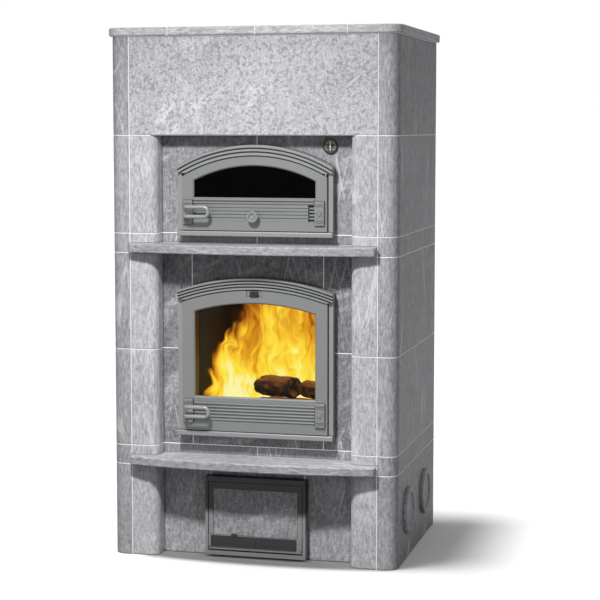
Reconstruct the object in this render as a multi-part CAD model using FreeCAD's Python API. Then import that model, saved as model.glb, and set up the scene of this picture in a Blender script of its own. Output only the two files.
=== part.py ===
import FreeCAD, Part
import math
import os

os.makedirs("parts", exist_ok=True)
V = FreeCAD.Vector

# Stone block: +Z up, front towards -Y, origin at the middle of the underside
WIDTH = 1000.0
DEPTH = 720.0
BASE_H = 318.0
BAND_H = 66.0
COURSE_H = 333.0
TOP_T = 30.0
OVERHANG = 12.0
SIDE_T = 67.0
BACK_T = 67.0
CORNER_R = 40.0
REAR_R = 8.0
TOP_EDGE_R = 6.0
TOP_JOINTS = (-290.0, 16.0, 330.0)
ARRIS = 1.5
JOINT = 3.0
RECESS = 0.5

# Niche, pilasters, upper panel and shelves
PILASTER_W = 92.0
NICHE_D = 70.0
NICHE_T = 60.0
PILASTER_R = 32.0
PANEL_T = 100.0
SHELF_T = 30.0
SHELF_END = 30.0
SHELF_BOW = 36.0
SHELF_CORNER_R = 12.0
SHELF_NOSE_R = 5.0
FIRE_SIDE_STONE = 106.0
ASH_SIDE_STONE = 171.0

# Inner core; chambers are set in from the niche's edges and lie before the back slabs
SLAB_T = 40.0
SLAB_GAP = 3.0
CORE_T = 70.0
ASH_SET_IN = 173.0
ASH_BEHIND = 113.0
FLOOR_T = 60.0
FLOOR_UP = 71.0
FIRE_SET_IN = 113.0
FIRE_BEHIND = 73.0
FIRE_TOP_DOWN = 115.0
CEILING_T = 100.0
THROAT_W = 50.0
OVEN_FLOOR_T = 110.0
OVEN_SET_IN = 98.0
OVEN_BEHIND = 18.0
OVEN_WALL_H = 225.0
VAULT_RISE = 40.0
VAULT_T = 70.0
KEY_HALF = 90.0
GRATE_SET_IN = 115.0
GRATE_BEFORE = 110.0
GRATE_BEHIND = 90.0
GRATE_LEDGE = 18.0
GRATE_T = 18.0
GRATE_FIT = 2.0
GRATE_SLOTS = 7
GRATE_SLOT_W = 12.0
PAN_SET_IN = 25.0
PAN_BEFORE = 15.0
PAN_BEHIND = 20.0
PAN_H = 90.0
PAN_T = 2.0
PAN_GRIP_W = 90.0
PAN_GRIP_D = 10.0
PAN_GRIP_T = 4.0
PAN_GRIP_UP = 54.0
FLUE_R = 80.0
FLUE_T = 3.0
FLUE_Z = 550.0
FLUE_FLANGE_R = 100.0
FLUE_FLANGE_T = 4.0
FLUE_INNER = 20.0
FLUE_FIT = 0.3

# Cast doors, common sizes; depths are measured forward from the niche face
STRIP_W = 15.0
STRIP_D = 31.0
FRAME_D = 22.0
SILL_H = 18.0
LEDGE_D = 44.0
LEDGE_R = 4.0
TRIM_D = 38.0
RIDGE_D = 6.0
RIDGE_GAP = 3.0
RIDGE_BEVEL = 1.0
TRIM_EASE = 3.0
TRIM_CLEAR = 1.0
SEAT_T = 8.0
NECK_T = 6.0
NECK_BACK = 5.0
NECK_FIT = 1.5
LEAF_D = 40.0
LEAF_T = 24.0
LEAF_GAP = 2.5
HINGE_R = 7.0
HINGE_ROUND = 3.0
PIN_R = 4.0
PIN_FIT = 0.05
PIN_HOLD = 14.0
PIN_TOP_HOLD = 22.0
PIN_REACH = 20.0
PIN_END = 0.5
LIP_T = 12.0
GLASS_T = 4.0
GLASS_LAP = 10.0
GLASS_FIT = 0.4
RETAINER_IN = 2.0
BEVEL = 4.0
GASKET_IN = 5.0
GASKET_W = 8.0
GASKET_FIT = 0.3
BLOCK_W = 34.0
BLOCK_H = 82.0
BLOCK_D = 8.0
BLOCK_EDGE = 4.0
BLOCK_HINGE_EDGE = 8.5
BLOCK_BEVEL = 2.0
BLOCK_LINES = (10.0, 16.0)
BLOCK_LINE_W = 2.0
BLOCK_LINE_DEEP = 1.0
BLOCK_LINE_IN = 3.0
BOSS_R = 8.0
BOSS_D = 2.5
BOSS_EDGE = 1.5
HANDLE_ROD_R = 6.5
HANDLE_LEG = 16.0
HANDLE_REACH = 59.0
HANDLE_TAIL = 10.0
HANDLE_OUT = 26.0
HANDLE_BEND = 11.0
ROCKER_T = 5.0
ROCKER_EDGE = 2.0
ROCKER_LEFT = 17.0
ROCKER_RIGHT = 13.0
ROCKER_R = 5.0
ROCKER_GAP = 0.3
SPINDLE_R = 5.0
SPINDLE_INSET = 23.5
LATCH_T = 3.5
LATCH_WALL = 2.5
LATCH_L = 34.0
LATCH_GAP = 0.5
LATCH_R = 3.0

# Oven door
OVEN_MARGIN = 67.0
OVEN_DROP = 8.0
OVEN_HEAD = 31.0
OVEN_RISE = 73.0
OVEN_TRIM = 37.0
OVEN_RIDGES = 3
OVEN_SEAT = 25.0
OVEN_STILE = 41.5
OVEN_WINDOW_UP = 132.0
OVEN_RAIL = 31.5
OVEN_BLOCK_UP = 40.0
OVEN_HANDLE_UP = 84.0
SLIDE_UP = 52.5
SLIDE_H = 57.0
SLIDE_DEEP = 7.0
SLIDE_FIT = 0.25
SLIDE_END = 2.0
SLIDE_FREE_EDGE = 47.0
SLIDE_HINGE_EDGE = 65.0
SLIDE_TRAVEL = 20.0
SLIDE_GROOVES = 4
GROOVE_W = 2.0
GROOVE_DEEP = 1.5
VENT_H = 5.0
VENT_EDGE = 1.5
RIB_H = 8.0
RIB_D = 3.0
RIB_GAP = 2.0
RIB_UP = 1.0
RIB_BEVEL = 1.8
KNOB_R = 20.0
KNOB_NECK_R = 9.0
KNOB_OUT = 26.0
KNOB_UP = 68.5
KNOB_FOOT = 3.0
KNOB_HEAD = 12.0
KNOB_EDGE = 3.0
KNOB_RING = 7.0
KNOB_DISH = 4.0
SCREW_R = 4.0
SCREW_HEAD_R = 5.0
WASHER_R = 11.0
WASHER_T = 3.0

# Firebox door
FIRE_MARGIN = 65.0
FIRE_RISE_UP = 37.0
FIRE_HEAD = 82.0
FIRE_ARCH = 47.0
FIRE_TRIM = 40.0
FIRE_RIDGES = 4
FIRE_STILE = 43.5
FIRE_WINDOW_UP = 138.0
FIRE_RAIL = 44.5
FIRE_BLOCK_UP = 46.0
FIRE_HANDLE_UP = 87.5
LOUVRES = 6
LOUVRE_UP = 56.0
LOUVRE_PITCH = 11.0
LOUVRE_H = 6.0
LOUVRE_D = 3.0
TAB_W = 28.0
TAB_H = 16.5
TAB_D = 6.0
TAB_TRAVEL = 12.0
TAB_DOWN = 4.0
TAB_STEM_DOWN = 17.0
TAB_STEM_W = 10.0
TAB_STEM_H = 4.0
TAB_BEVEL = 2.0
TAB_KEEPER_T = 3.0
TAB_KEEPER_LAP = 4.0
TAB_FIT = 0.3
TAB_RECESS = 2.0
TAB_END = 1.0

# Ash door
ASH_MARGIN = 160.0
ASH_FRAME_Z0 = 8.0
ASH_FRAME_H = 273.0
ASH_SIDE_W = 10.0
ASH_TOP_W = 17.0
ASH_SILL_H = 14.0
ASH_FRAME_D = 36.0
ASH_SEAT_W = 13.0
ASH_SEAT_T = 12.0
ASH_SLEEVE_T = 3.0
FLAP_D = 34.0
FLAP_T = 14.0
FLAP_GAP = 2.0
FLAP_LIFT = 2.0
FLAP_HINGE_R = 5.0
FLAP_PIN_R = 3.0
FLAP_PIN_L = 7.0
INLAY_SET_IN = 16.0
INLAY_DOWN = 22.0
INLAY_UP = 54.0
INLAY_T = 10.0
INLAY_FIT = 0.4
INLAY_LIP = 3.0
INLAY_SINK = 1.0
INLAY_EDGE = 1.0
AIR_PLATE_FREE = 1.0
AIR_PLATE_H = 36.0
AIR_PLATE_T = 3.0
AIR_PLATE_UP = 9.0
AIR_PLATE_GAP = 0.2
AIR_TRAVEL = 12.0
AIR_TAB_X = -75.0
AIR_TAB_W = 18.0
AIR_TAB_H = 10.0
AIR_TAB_D = 6.0
AIR_SCREW_R = 3.0
AIR_SCREW_HEAD = 5.0
AIR_SCREW_T = 2.5
STRAP_W = 8.0
STRAP_H = 42.0
STRAP_T = 4.0
STRAP_UP = 8.0
STRAP_EDGE = 1.0

# Thermometer
THERMO_SET_IN = 83.0
THERMO_DOWN = 36.0
THERMO_R = 25.0
THERMO_D = 9.0
THERMO_RIM = 3.2
THERMO_BACK = 2.0
DIAL_T = 1.0
NEEDLE_L = 15.0
NEEDLE_TAIL = 15.0
NEEDLE_W = 1.6
NEEDLE_T = 0.8
NEEDLE_HUB_R = 2.6
NEEDLE_PIN_R = 0.9
NEEDLE_GAP = 0.3
STEM_R = 3.0
STEM_FIT = 0.3
STEM_L = 56.0

# Soot hatches in the base course
HATCH_FRONT = 185.0
HATCH_REAR = 218.0
HATCH_Z = 168.0
HATCH_HOLE_R = 65.0
HATCH_R = 80.0
HATCH_D = 14.0
HATCH_RIM = 16.0
HATCH_DISH = 6.0
HATCH_ROUND = 6.0
HATCH_INNER_ROUND = 3.0
HATCH_LEAD = 3.0
HATCH_PLUG = 34.0
HATCH_FIT = 1.0

# Levels of the bed joints and the main planes
Z1 = BASE_H
Z2 = Z1 + BAND_H
Z3 = Z2 + COURSE_H
Z4 = Z3 + COURSE_H
Z5 = Z4 + BAND_H
Z6 = Z5 + COURSE_H
Z7 = Z6 + COURSE_H
Z_TOP = Z7 + TOP_T
HJ = JOINT / 2
HALF = WIDTH / 2
Y_FRONT = -DEPTH / 2
Y_BACK = DEPTH / 2
Y_NICHE = Y_FRONT + NICHE_D
Y_WALL = Y_NICHE + NICHE_T
Y_BACK_IN = Y_BACK - BACK_T
X_SIDE = HALF - SIDE_T
X_FRONT = X_SIDE - JOINT
NICHE_HALF = X_FRONT - PILASTER_W
FIRE_JOINT_X = NICHE_HALF - FIRE_SIDE_STONE
ASH_JOINT_X = NICHE_HALF - ASH_SIDE_STONE
ASH_HALF = NICHE_HALF - ASH_SET_IN
ASH_BACK = Y_BACK_IN - CORE_T - ASH_BEHIND
FLOOR_Z = Z2 + FLOOR_UP
FIRE_HALF = NICHE_HALF - FIRE_SET_IN
FIRE_BACK = Y_BACK_IN - CORE_T - FIRE_BEHIND
OVEN_HALF_IN = NICHE_HALF - OVEN_SET_IN
OVEN_BACK = Y_BACK_IN - CORE_T - OVEN_BEHIND
GRATE_X = FIRE_HALF - GRATE_SET_IN
GRATE_Y0 = Y_WALL + GRATE_BEFORE
GRATE_Y1 = FIRE_BACK - GRATE_BEHIND
PAN_X = ASH_HALF - PAN_SET_IN
PAN_Y0 = Y_WALL + PAN_BEFORE
PAN_Y1 = ASH_BACK - PAN_BEHIND
OVEN_HALF = NICHE_HALF - OVEN_MARGIN
OVEN_H = COURSE_H + OVEN_DROP - OVEN_HEAD
OVEN_LEAF_HALF = OVEN_HALF - STRIP_W - LEAF_GAP
OVEN_WINDOW_HALF = OVEN_LEAF_HALF - OVEN_STILE
SLIDE_LEFT = SLIDE_FREE_EDGE - OVEN_LEAF_HALF
SLIDE_RIGHT = OVEN_LEAF_HALF - SLIDE_HINGE_EDGE
FIRE_HALF_W = NICHE_HALF - FIRE_MARGIN
FIRE_DOOR_H = 2 * COURSE_H - FIRE_RISE_UP - FIRE_HEAD
FIRE_LEAF_HALF = FIRE_HALF_W - STRIP_W - LEAF_GAP
FIRE_WINDOW_HALF = FIRE_LEAF_HALF - FIRE_STILE
ASH_FRAME_HALF = NICHE_HALF - ASH_MARGIN
THERMO_X = NICHE_HALF - THERMO_SET_IN
HATCH_Y = (Y_FRONT + HATCH_FRONT, Y_BACK - HATCH_REAR)
COURSES = ((0, Z1), (Z1, Z2), (Z2, Z3), (Z3, Z4), (Z4, Z5), (Z5, Z6), (Z6, Z7))


def box(x0, x1, y0, y1, z0, z1):
    return Part.makeBox(x1 - x0, y1 - y0, z1 - z0, V(x0, y0, z0))


def cylinder(radius, start, direction, length):
    return Part.makeCylinder(radius, length, start, direction)


def mirrored(shape):
    return shape.mirror(V(0, 0, 0), V(1, 0, 0))


def both(shape):
    return [mirrored(shape), shape]


def rounded_plan(x0, x1, y0, y1, radii, z0, z1):
    """Upright block with a radius for each plan corner, from the front left round to the back left."""
    points = [V(x0, y0, z0), V(x1, y0, z0), V(x1, y1, z0), V(x0, y1, z0)]
    edges = []
    ends = []
    for i, r in enumerate(radii):
        here = points[i]
        before = (points[i - 1] - here).normalize()
        after = (points[(i + 1) % 4] - here).normalize()
        if r > 0:
            start = here + before * r
            stop = here + after * r
            centre = here + before * r + after * r
            middle = centre + (here - centre).normalize() * r
            edges.append(Part.Arc(start, middle, stop).toShape())
            ends.append((start, stop))
        else:
            edges.append(None)
            ends.append((here, here))
    loop = []
    for i in range(4):
        if edges[i] is not None:
            loop.append(edges[i])
        loop.append(Part.makeLine(ends[i][1], ends[(i + 1) % 4][0]))
    return Part.Face(Part.Wire(loop)).extrude(V(0, 0, z1 - z0))


def sharp_edges(shape):
    """Edges where two faces meet at an angle."""
    found = []
    for edge in shape.Edges:
        faces = shape.ancestorsOfType(edge, Part.Face)
        if len(faces) != 2:
            continue
        middle = edge.valueAt((edge.FirstParameter + edge.LastParameter) / 2)
        normals = [f.normalAt(*f.Surface.parameter(middle)) for f in faces]
        if normals[0].getAngle(normals[1]) > math.radians(20):
            found.append(edge)
    return found


def softened(shape, size=ARRIS):
    return shape.makeChamfer(size, sharp_edges(shape))


def stone(x0, x1, y0, y1, z0, z1, radii=(0, 0, 0, 0)):
    return softened(rounded_plan(x0, x1, y0, y1, radii, z0, z1))


def edges_where(shape, test):
    return [e for e in shape.Edges if test(e.BoundBox)]


def fused(first, *others):
    return first.fuse(list(others)).removeSplitter()


def save(name, shapes):
    solids = []
    for shape in shapes:
        solids += shape.Solids
    whole = solids[0] if len(solids) == 1 else Part.makeCompound(solids)
    whole.exportStep("parts/" + name + ".step")


# Outlines of the arched doors: half width, bottom, arch radius, height of the arch centre
def arch_outline(half, bottom, height, rise):
    radius = (half ** 2 + rise ** 2) / (2 * rise)
    return half, bottom, radius, bottom + height - radius


def inset(outline, amount):
    half, bottom, radius, centre = outline
    return half - amount, bottom + amount, radius - amount, centre


def arch_height(outline, x):
    return outline[3] + math.sqrt(outline[2] ** 2 - x ** 2)


def arch_wire(outline, y):
    half, bottom, radius, centre = outline
    spring = arch_height(outline, half)
    a = V(-half, y, bottom)
    b = V(half, y, bottom)
    c = V(half, y, spring)
    d = V(-half, y, spring)
    crown = V(0, y, centre + radius)
    arc = Part.Arc(c, crown, d).toShape()
    return Part.Wire([Part.makeLine(a, b), Part.makeLine(b, c), arc, Part.makeLine(d, a)])


def arch_prism(outline, y0, y1):
    return Part.Face(arch_wire(outline, y0)).extrude(V(0, y1 - y0, 0))


def arch_ring(outer, inner, y0, y1):
    return arch_prism(outer, y0, y1).cut(arch_prism(inner, y0 - 1, y1 + 1))


def turned(profile, start, direction):
    """Solid turned about a line: profile points are (distance along the line, radius)."""
    side = V(0, 0, 1)
    points = [start + direction * a + side * r for a, r in profile]
    points.append(points[0])
    return Part.Face(Part.makePolygon(points)).revolve(start, direction, 360)


# Outer stones: full-depth side slabs, back slabs and front pilasters
def side_stone(course):
    z0, z1 = COURSES[course]
    low = z0 if course == 0 else z0 + HJ
    slab = stone(X_SIDE, HALF, Y_FRONT, Y_BACK, low, z1 - HJ, (0, CORNER_R, REAR_R, 0))
    if course == 0:
        for y in HATCH_Y:
            slab = slab.cut(cylinder(HATCH_HOLE_R, V(X_SIDE - 5, y, HATCH_Z), V(1, 0, 0), SIDE_T + 10))
    return slab


sides = [side_stone(i) for i in range(len(COURSES))]
save("left_side_stones", [mirrored(s) for s in sides])
save("right_side_stones", sides)

flue_line = V(0, 1, 0)
backs = []
for i, (z0, z1) in enumerate(COURSES):
    low = z0 if i == 0 else z0 + HJ
    slab = stone(-X_FRONT, X_FRONT, Y_BACK_IN, Y_BACK, low, z1 - HJ)
    if z0 < FLUE_Z < z1:
        hole = FLUE_R + FLUE_T + FLUE_FIT
        slab = slab.cut(cylinder(hole, V(0, Y_BACK_IN - 5, FLUE_Z), flue_line, BACK_T + 10))
    backs.append(slab)
save("back_stones", backs)

# The lower half of each band is a shelf slab, the upper half a row of strips
STRIP_LOW = HJ + SHELF_T + JOINT
BANDS = ((Z1, Z2), (Z4, Z5))
pilaster_heights = [(0, Z1 - HJ), (Z1 + STRIP_LOW, Z2 - HJ), (Z2 + HJ, Z3 - HJ)]
pilaster_heights += [(Z3 + HJ, Z4 - HJ), (Z4 + STRIP_LOW, Z5 - HJ), (Z5 + HJ, Z6 - HJ)]
pilasters = []
for z0, z1 in pilaster_heights:
    pilasters += both(stone(NICHE_HALF, X_FRONT, Y_FRONT, Y_WALL, z0, z1, (PILASTER_R, 0, 0, 0)))
save("pilaster_stones", pilasters)

save("front_panel", [stone(-X_FRONT, X_FRONT, Y_FRONT, Y_FRONT + PANEL_T, Z6 + HJ, Z7 - HJ)])

strips = []
for z0, z1 in BANDS:
    strips += both(stone(HJ, NICHE_HALF, Y_NICHE, Y_WALL, z0 + STRIP_LOW, z1 - HJ))
save("band_strips", strips)


def shelf(level):
    z0 = level + HJ
    tip = Y_FRONT - SHELF_END
    a = V(-X_FRONT, Y_WALL, z0)
    b = V(X_FRONT, Y_WALL, z0)
    c = V(X_FRONT, tip, z0)
    d = V(-X_FRONT, tip, z0)
    bow = Part.Arc(c, V(0, tip - SHELF_BOW, z0), d).toShape()
    wire = Part.Wire([Part.makeLine(a, b), Part.makeLine(b, c), bow, Part.makeLine(d, a)])
    slab = Part.Face(wire).extrude(V(0, 0, SHELF_T))
    corners = edges_where(slab, lambda b: b.ZLength > 1 and b.YMax < Y_FRONT)
    slab = slab.makeFillet(SHELF_CORNER_R, corners)
    rims = edges_where(slab, lambda b: b.ZLength < 0.01 and b.YMin < Y_WALL - 1)
    return slab.makeFillet(SHELF_NOSE_R, rims)


save("shelves", [shelf(Z1), shelf(Z4)])

# Top slab, cut into full-depth strips
top_x = HALF + OVERHANG
top_y0 = Y_FRONT - OVERHANG
top_y1 = Y_BACK + OVERHANG
front_r = CORNER_R + OVERHANG
rear_r = REAR_R + OVERHANG
top = rounded_plan(-top_x, top_x, top_y0, top_y1, (front_r, front_r, rear_r, rear_r), Z7 + HJ, Z_TOP)
top = top.makeFillet(TOP_EDGE_R, edges_where(top, lambda b: b.ZLength < 0.01))
cuts = [-top_x - JOINT] + list(TOP_JOINTS) + [top_x + JOINT]
slabs = []
for x0, x1 in zip(cuts, cuts[1:]):
    slabs.append(top.common(box(x0 + HJ, x1 - HJ, top_y0 - 1, top_y1 + 1, Z7, Z_TOP + 1)))
save("top_slabs", slabs)

# Cast doors: sizes worked out once, used by the frames, the leaves and the throats in the stone
oven_frame = arch_outline(OVEN_HALF, Z5 - OVEN_DROP, OVEN_H, OVEN_RISE)
fire_frame = arch_outline(FIRE_HALF_W, Z2 + FIRE_RISE_UP, FIRE_DOOR_H, FIRE_ARCH)
fire_seat = FIRE_HALF_W - STRIP_W - (FIRE_JOINT_X + HJ - NECK_FIT - NECK_T)
Y_STRIP = Y_NICHE - STRIP_D
Y_FRAME = Y_NICHE - FRAME_D
Y_LEDGE = Y_NICHE - LEDGE_D
Y_TRIM = Y_NICHE - TRIM_D
Y_RIDGE = Y_TRIM - RIDGE_D
Y_LEAF = Y_NICHE - LEAF_D
Y_LEAF_BACK = Y_LEAF + LEAF_T
Y_SEAT = Y_NICHE - SEAT_T
Y_HINGE = Y_LEAF + HINGE_R


def opening_of(frame, trim):
    half, bottom, radius, centre = frame
    return half - STRIP_W, bottom + SILL_H, radius - trim, centre


def throat_of(frame, trim, seat):
    """Rectangular hole the frame's neck needs: half width, bottom, top."""
    hole = inset(opening_of(frame, trim), seat - NECK_T - NECK_FIT)
    return hole[0], hole[1], hole[3] + hole[2]


oven_throat = throat_of(oven_frame, OVEN_TRIM, OVEN_SEAT)
fire_throat = throat_of(fire_frame, FIRE_TRIM, fire_seat)

# Niche stones round the three openings
ash_face = ASH_JOINT_X + HJ
ash_lintel = ASH_FRAME_Z0 + ASH_FRAME_H - ASH_TOP_W / 2
base_niche = both(stone(ash_face, NICHE_HALF, Y_NICHE, Y_WALL, 0, Z1 - HJ))
base_niche.append(stone(-ASH_JOINT_X + HJ, ASH_JOINT_X - HJ, Y_NICHE, Y_WALL, ash_lintel, Z1 - HJ))
ash_sill = ASH_FRAME_Z0 + ASH_SILL_H
base_niche.append(stone(-ASH_JOINT_X + HJ, ASH_JOINT_X - HJ, Y_NICHE, Y_WALL, 0, ash_sill))
save("base_niche_stones", base_niche)

fire_niche = []
for z0, z1 in COURSES[2:4]:
    fire_niche += both(stone(FIRE_JOINT_X + HJ, NICHE_HALF, Y_NICHE, Y_WALL, z0 + HJ, z1 - HJ))
fire_inner = FIRE_JOINT_X - HJ
fire_niche.append(stone(-fire_inner, fire_inner, Y_NICHE, Y_WALL, Z2 + HJ, fire_throat[1]))
fire_niche.append(stone(-fire_inner, fire_inner, Y_NICHE, Y_WALL, fire_throat[2], Z4 - HJ))
save("firebox_niche_stones", fire_niche)

thermo_z = Z6 - THERMO_DOWN
stem_hole = cylinder(STEM_R + STEM_FIT, V(THERMO_X, Y_NICHE - 5, thermo_z), V(0, 1, 0), NICHE_T + 10)
angle_stone = box(HJ, NICHE_HALF, Y_NICHE, Y_WALL, Z5 + HJ, Z6 - HJ)
angle_stone = angle_stone.cut(box(-10, oven_throat[0], Y_NICHE - 1, Y_WALL + 1, Z5, oven_throat[2]))
angle_stone = softened(angle_stone)
oven_niche = [mirrored(angle_stone), angle_stone.cut(stem_hole)]
oven_niche.append(stone(-oven_throat[0], oven_throat[0], Y_NICHE, Y_WALL, Z5 + HJ, oven_throat[1]))
save("oven_niche_stones", oven_niche)

# Mortar: bed joints under every course and upright joints between the stones
mortar = []
for level in (Z1, Z2, Z3, Z4, Z5, Z6, Z7):
    z0 = level - HJ
    z1 = level + HJ
    face_r = CORNER_R - RECESS
    pad = rounded_plan(X_SIDE, HALF - RECESS, Y_FRONT + RECESS, Y_BACK - RECESS, (0, face_r, 0, 0), z0, z1)
    mortar += both(pad)
    mortar.append(box(-X_FRONT, X_FRONT, Y_BACK_IN, Y_BACK - RECESS, z0, z1))
front_levels = [Z1, Z1 + STRIP_LOW - HJ, Z2, Z3, Z4, Z4 + STRIP_LOW - HJ, Z5, Z6]
for level in front_levels:
    z0 = level - HJ
    z1 = level + HJ
    back = Y_FRONT + PANEL_T if level == Z6 else Y_WALL
    inner_r = PILASTER_R - RECESS
    pad_r = (inner_r, 0, 0, 0)
    mortar += both(rounded_plan(NICHE_HALF + RECESS, X_FRONT, Y_FRONT + RECESS, back, pad_r, z0, z1))
    if level == Z3:
        mortar += both(box(FIRE_JOINT_X + HJ, NICHE_HALF, Y_NICHE + RECESS, back, z0, z1))
    else:
        mortar.append(box(-NICHE_HALF, NICHE_HALF, Y_NICHE + RECESS, back, z0, z1))
mortar.append(box(-X_FRONT, X_FRONT, Y_FRONT + RECESS, Y_FRONT + PANEL_T, Z7 - HJ, Z7 + HJ))
mortar += both(box(X_FRONT, X_SIDE, Y_FRONT + RECESS, Y_WALL, 0, Z7 + HJ))
mortar += both(box(X_FRONT, X_SIDE, Y_BACK_IN, Y_BACK - RECESS, 0, Z7 + HJ))
for z0, z1 in BANDS:
    mortar.append(box(-HJ, HJ, Y_NICHE + RECESS, Y_WALL, z0 + STRIP_LOW, z1 - HJ))
mortar.append(box(-HJ, HJ, Y_NICHE + RECESS, Y_WALL, oven_throat[2], Z6 - HJ))
for z0, z1 in ((Z2 + HJ, fire_throat[1]), (fire_throat[2], Z4 - HJ)):
    mortar += both(box(fire_inner, FIRE_JOINT_X + HJ, Y_NICHE + RECESS, Y_WALL, z0, z1))
for z0, z1 in ((0, ash_sill), (ash_lintel, Z1 - HJ)):
    mortar += both(box(ASH_JOINT_X - HJ, ash_face, Y_NICHE + RECESS, Y_WALL, z0, z1))
for x in TOP_JOINTS:
    low = Z7 + HJ
    high = Z_TOP - RECESS
    mortar.append(box(x - HJ, x + HJ, top_y0 + 2 * RECESS, top_y1 - 2 * RECESS, low, high))
save("mortar_joints", mortar)

# Inner core, stacked from the base slab to the vault
slab_x = X_FRONT - SLAB_GAP
save("base_slab", [box(-slab_x, slab_x, Y_WALL + SLAB_GAP, Y_BACK_IN - SLAB_GAP, 0, SLAB_T)])

floor_low = FLOOR_Z - FLOOR_T
core_x = FIRE_HALF + CORE_T
core_back = FIRE_BACK + CORE_T
ash_y = Y_WALL + SLAB_GAP
ash_walls = both(box(ASH_HALF, ASH_HALF + CORE_T, ash_y, core_back, SLAB_T, floor_low))
ash_walls.append(box(-ASH_HALF, ASH_HALF, ASH_BACK, ASH_BACK + CORE_T, SLAB_T, floor_low))
save("ash_chamber_walls", ash_walls)

rebate_x = GRATE_X + GRATE_LEDGE + GRATE_FIT
rebate_y0 = GRATE_Y0 - GRATE_LEDGE - GRATE_FIT
rebate_y1 = GRATE_Y1 + GRATE_LEDGE + GRATE_FIT
rebate = box(-rebate_x, rebate_x, rebate_y0, rebate_y1, FLOOR_Z - GRATE_T, FLOOR_Z + 1)
floor_stones = both(box(GRATE_X, core_x, GRATE_Y0, GRATE_Y1, floor_low, FLOOR_Z).cut(rebate))
floor_stones.append(box(-core_x, core_x, Y_WALL, GRATE_Y0, floor_low, FLOOR_Z).cut(rebate))
floor_stones.append(box(-core_x, core_x, GRATE_Y1, core_back, floor_low, FLOOR_Z).cut(rebate))
save("firebox_floor", floor_stones)

fire_top = Z4 - FIRE_TOP_DOWN
fire_walls = both(box(FIRE_HALF, core_x, Y_WALL, core_back, FLOOR_Z, fire_top))
fire_walls.append(box(-FIRE_HALF, FIRE_HALF, FIRE_BACK, core_back, FLOOR_Z, fire_top))
save("firebox_walls", fire_walls)

oven_x = OVEN_HALF_IN + CORE_T
oven_back = OVEN_BACK + CORE_T
ceiling_top = fire_top + CEILING_T
throat_y = FIRE_BACK - THROAT_W
ceiling = [box(-oven_x, oven_x, Y_WALL, throat_y, fire_top, ceiling_top)]
ceiling.append(box(-oven_x, oven_x, FIRE_BACK, oven_back, fire_top, ceiling_top))
save("firebox_ceiling", ceiling)

oven_floor_z = ceiling_top + OVEN_FLOOR_T
oven_floor = [box(-oven_x, oven_x, Y_WALL, throat_y, ceiling_top, oven_floor_z)]
oven_floor.append(box(-oven_x, oven_x, FIRE_BACK, oven_back, ceiling_top, oven_floor_z))
save("oven_floor", oven_floor)

oven_wall_top = oven_floor_z + OVEN_WALL_H
oven_walls = both(box(OVEN_HALF_IN, oven_x, Y_WALL, oven_back, oven_floor_z, oven_wall_top))
oven_walls.append(box(-OVEN_HALF_IN, OVEN_HALF_IN, OVEN_BACK, oven_back, oven_floor_z, oven_wall_top))
save("oven_walls", oven_walls)

vault_r = (OVEN_HALF_IN ** 2 + VAULT_RISE ** 2) / (2 * VAULT_RISE)
vault_z = oven_wall_top + VAULT_RISE - vault_r
vault_top = oven_wall_top + VAULT_RISE + VAULT_T
slope = KEY_HALF / math.sqrt(vault_r ** 2 - KEY_HALF ** 2)
key_low = slope * (oven_wall_top - vault_z)
key_high = slope * (vault_top - vault_z)
hollow = cylinder(vault_r, V(0, Y_WALL - 1, vault_z), V(0, 1, 0), oven_back - Y_WALL + 2)


def vault_stone(points):
    corners = [V(x, Y_WALL, z) for x, z in points + points[:1]]
    block = Part.Face(Part.makePolygon(corners)).extrude(V(0, oven_back - Y_WALL, 0))
    return block.cut(hollow)


foot = (key_low, oven_wall_top)
head = (key_high, vault_top)
key = vault_stone([(-key_low, oven_wall_top), foot, head, (-key_high, vault_top)])
haunch = vault_stone([foot, (oven_x, oven_wall_top), (oven_x, vault_top), head])
save("oven_vault", both(haunch) + [key])

grate_x = rebate_x - GRATE_FIT
grate = box(-grate_x, grate_x, rebate_y0 + GRATE_FIT, rebate_y1 - GRATE_FIT, FLOOR_Z - GRATE_T, FLOOR_Z)
slot_pitch = 2 * GRATE_X / GRATE_SLOTS
for i in range(GRATE_SLOTS):
    x = -GRATE_X + slot_pitch * (i + 0.5)
    x0 = x - GRATE_SLOT_W / 2
    x1 = x + GRATE_SLOT_W / 2
    grate = grate.cut(box(x0, x1, GRATE_Y0, GRATE_Y1, FLOOR_Z - GRATE_T - 1, FLOOR_Z + 1))
save("grate", [grate])

pan_top = SLAB_T + PAN_H
pan = box(-PAN_X, PAN_X, PAN_Y0, PAN_Y1, SLAB_T, pan_top)
pan_x = PAN_X - PAN_T
pan = pan.cut(box(-pan_x, pan_x, PAN_Y0 + PAN_T, PAN_Y1 - PAN_T, SLAB_T + PAN_T, pan_top + 1))
grip_z = SLAB_T + PAN_GRIP_UP
grip_x = PAN_GRIP_W / 2
grip = box(-grip_x, grip_x, PAN_Y0 - PAN_GRIP_D, PAN_Y0, grip_z, grip_z + PAN_GRIP_T)
save("ash_pan", [fused(pan, grip)])

flue = turned(
    [
        (0, FLUE_R),
        (0, FLUE_R + FLUE_T),
        (FLUE_INNER + BACK_T, FLUE_R + FLUE_T),
        (FLUE_INNER + BACK_T, FLUE_FLANGE_R),
        (FLUE_INNER + BACK_T + FLUE_FLANGE_T, FLUE_FLANGE_R),
        (FLUE_INNER + BACK_T + FLUE_FLANGE_T, FLUE_R),
    ],
    V(0, Y_BACK_IN - FLUE_INNER, FLUE_Z),
    flue_line,
)
save("flue_collar", [flue])


# Cast door frame: side strips, stepped arch moulding, sill ledge, gasket seat and neck through the stone
def hinge_x(frame):
    return frame[0] - STRIP_W - LEAF_GAP - HINGE_R


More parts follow.
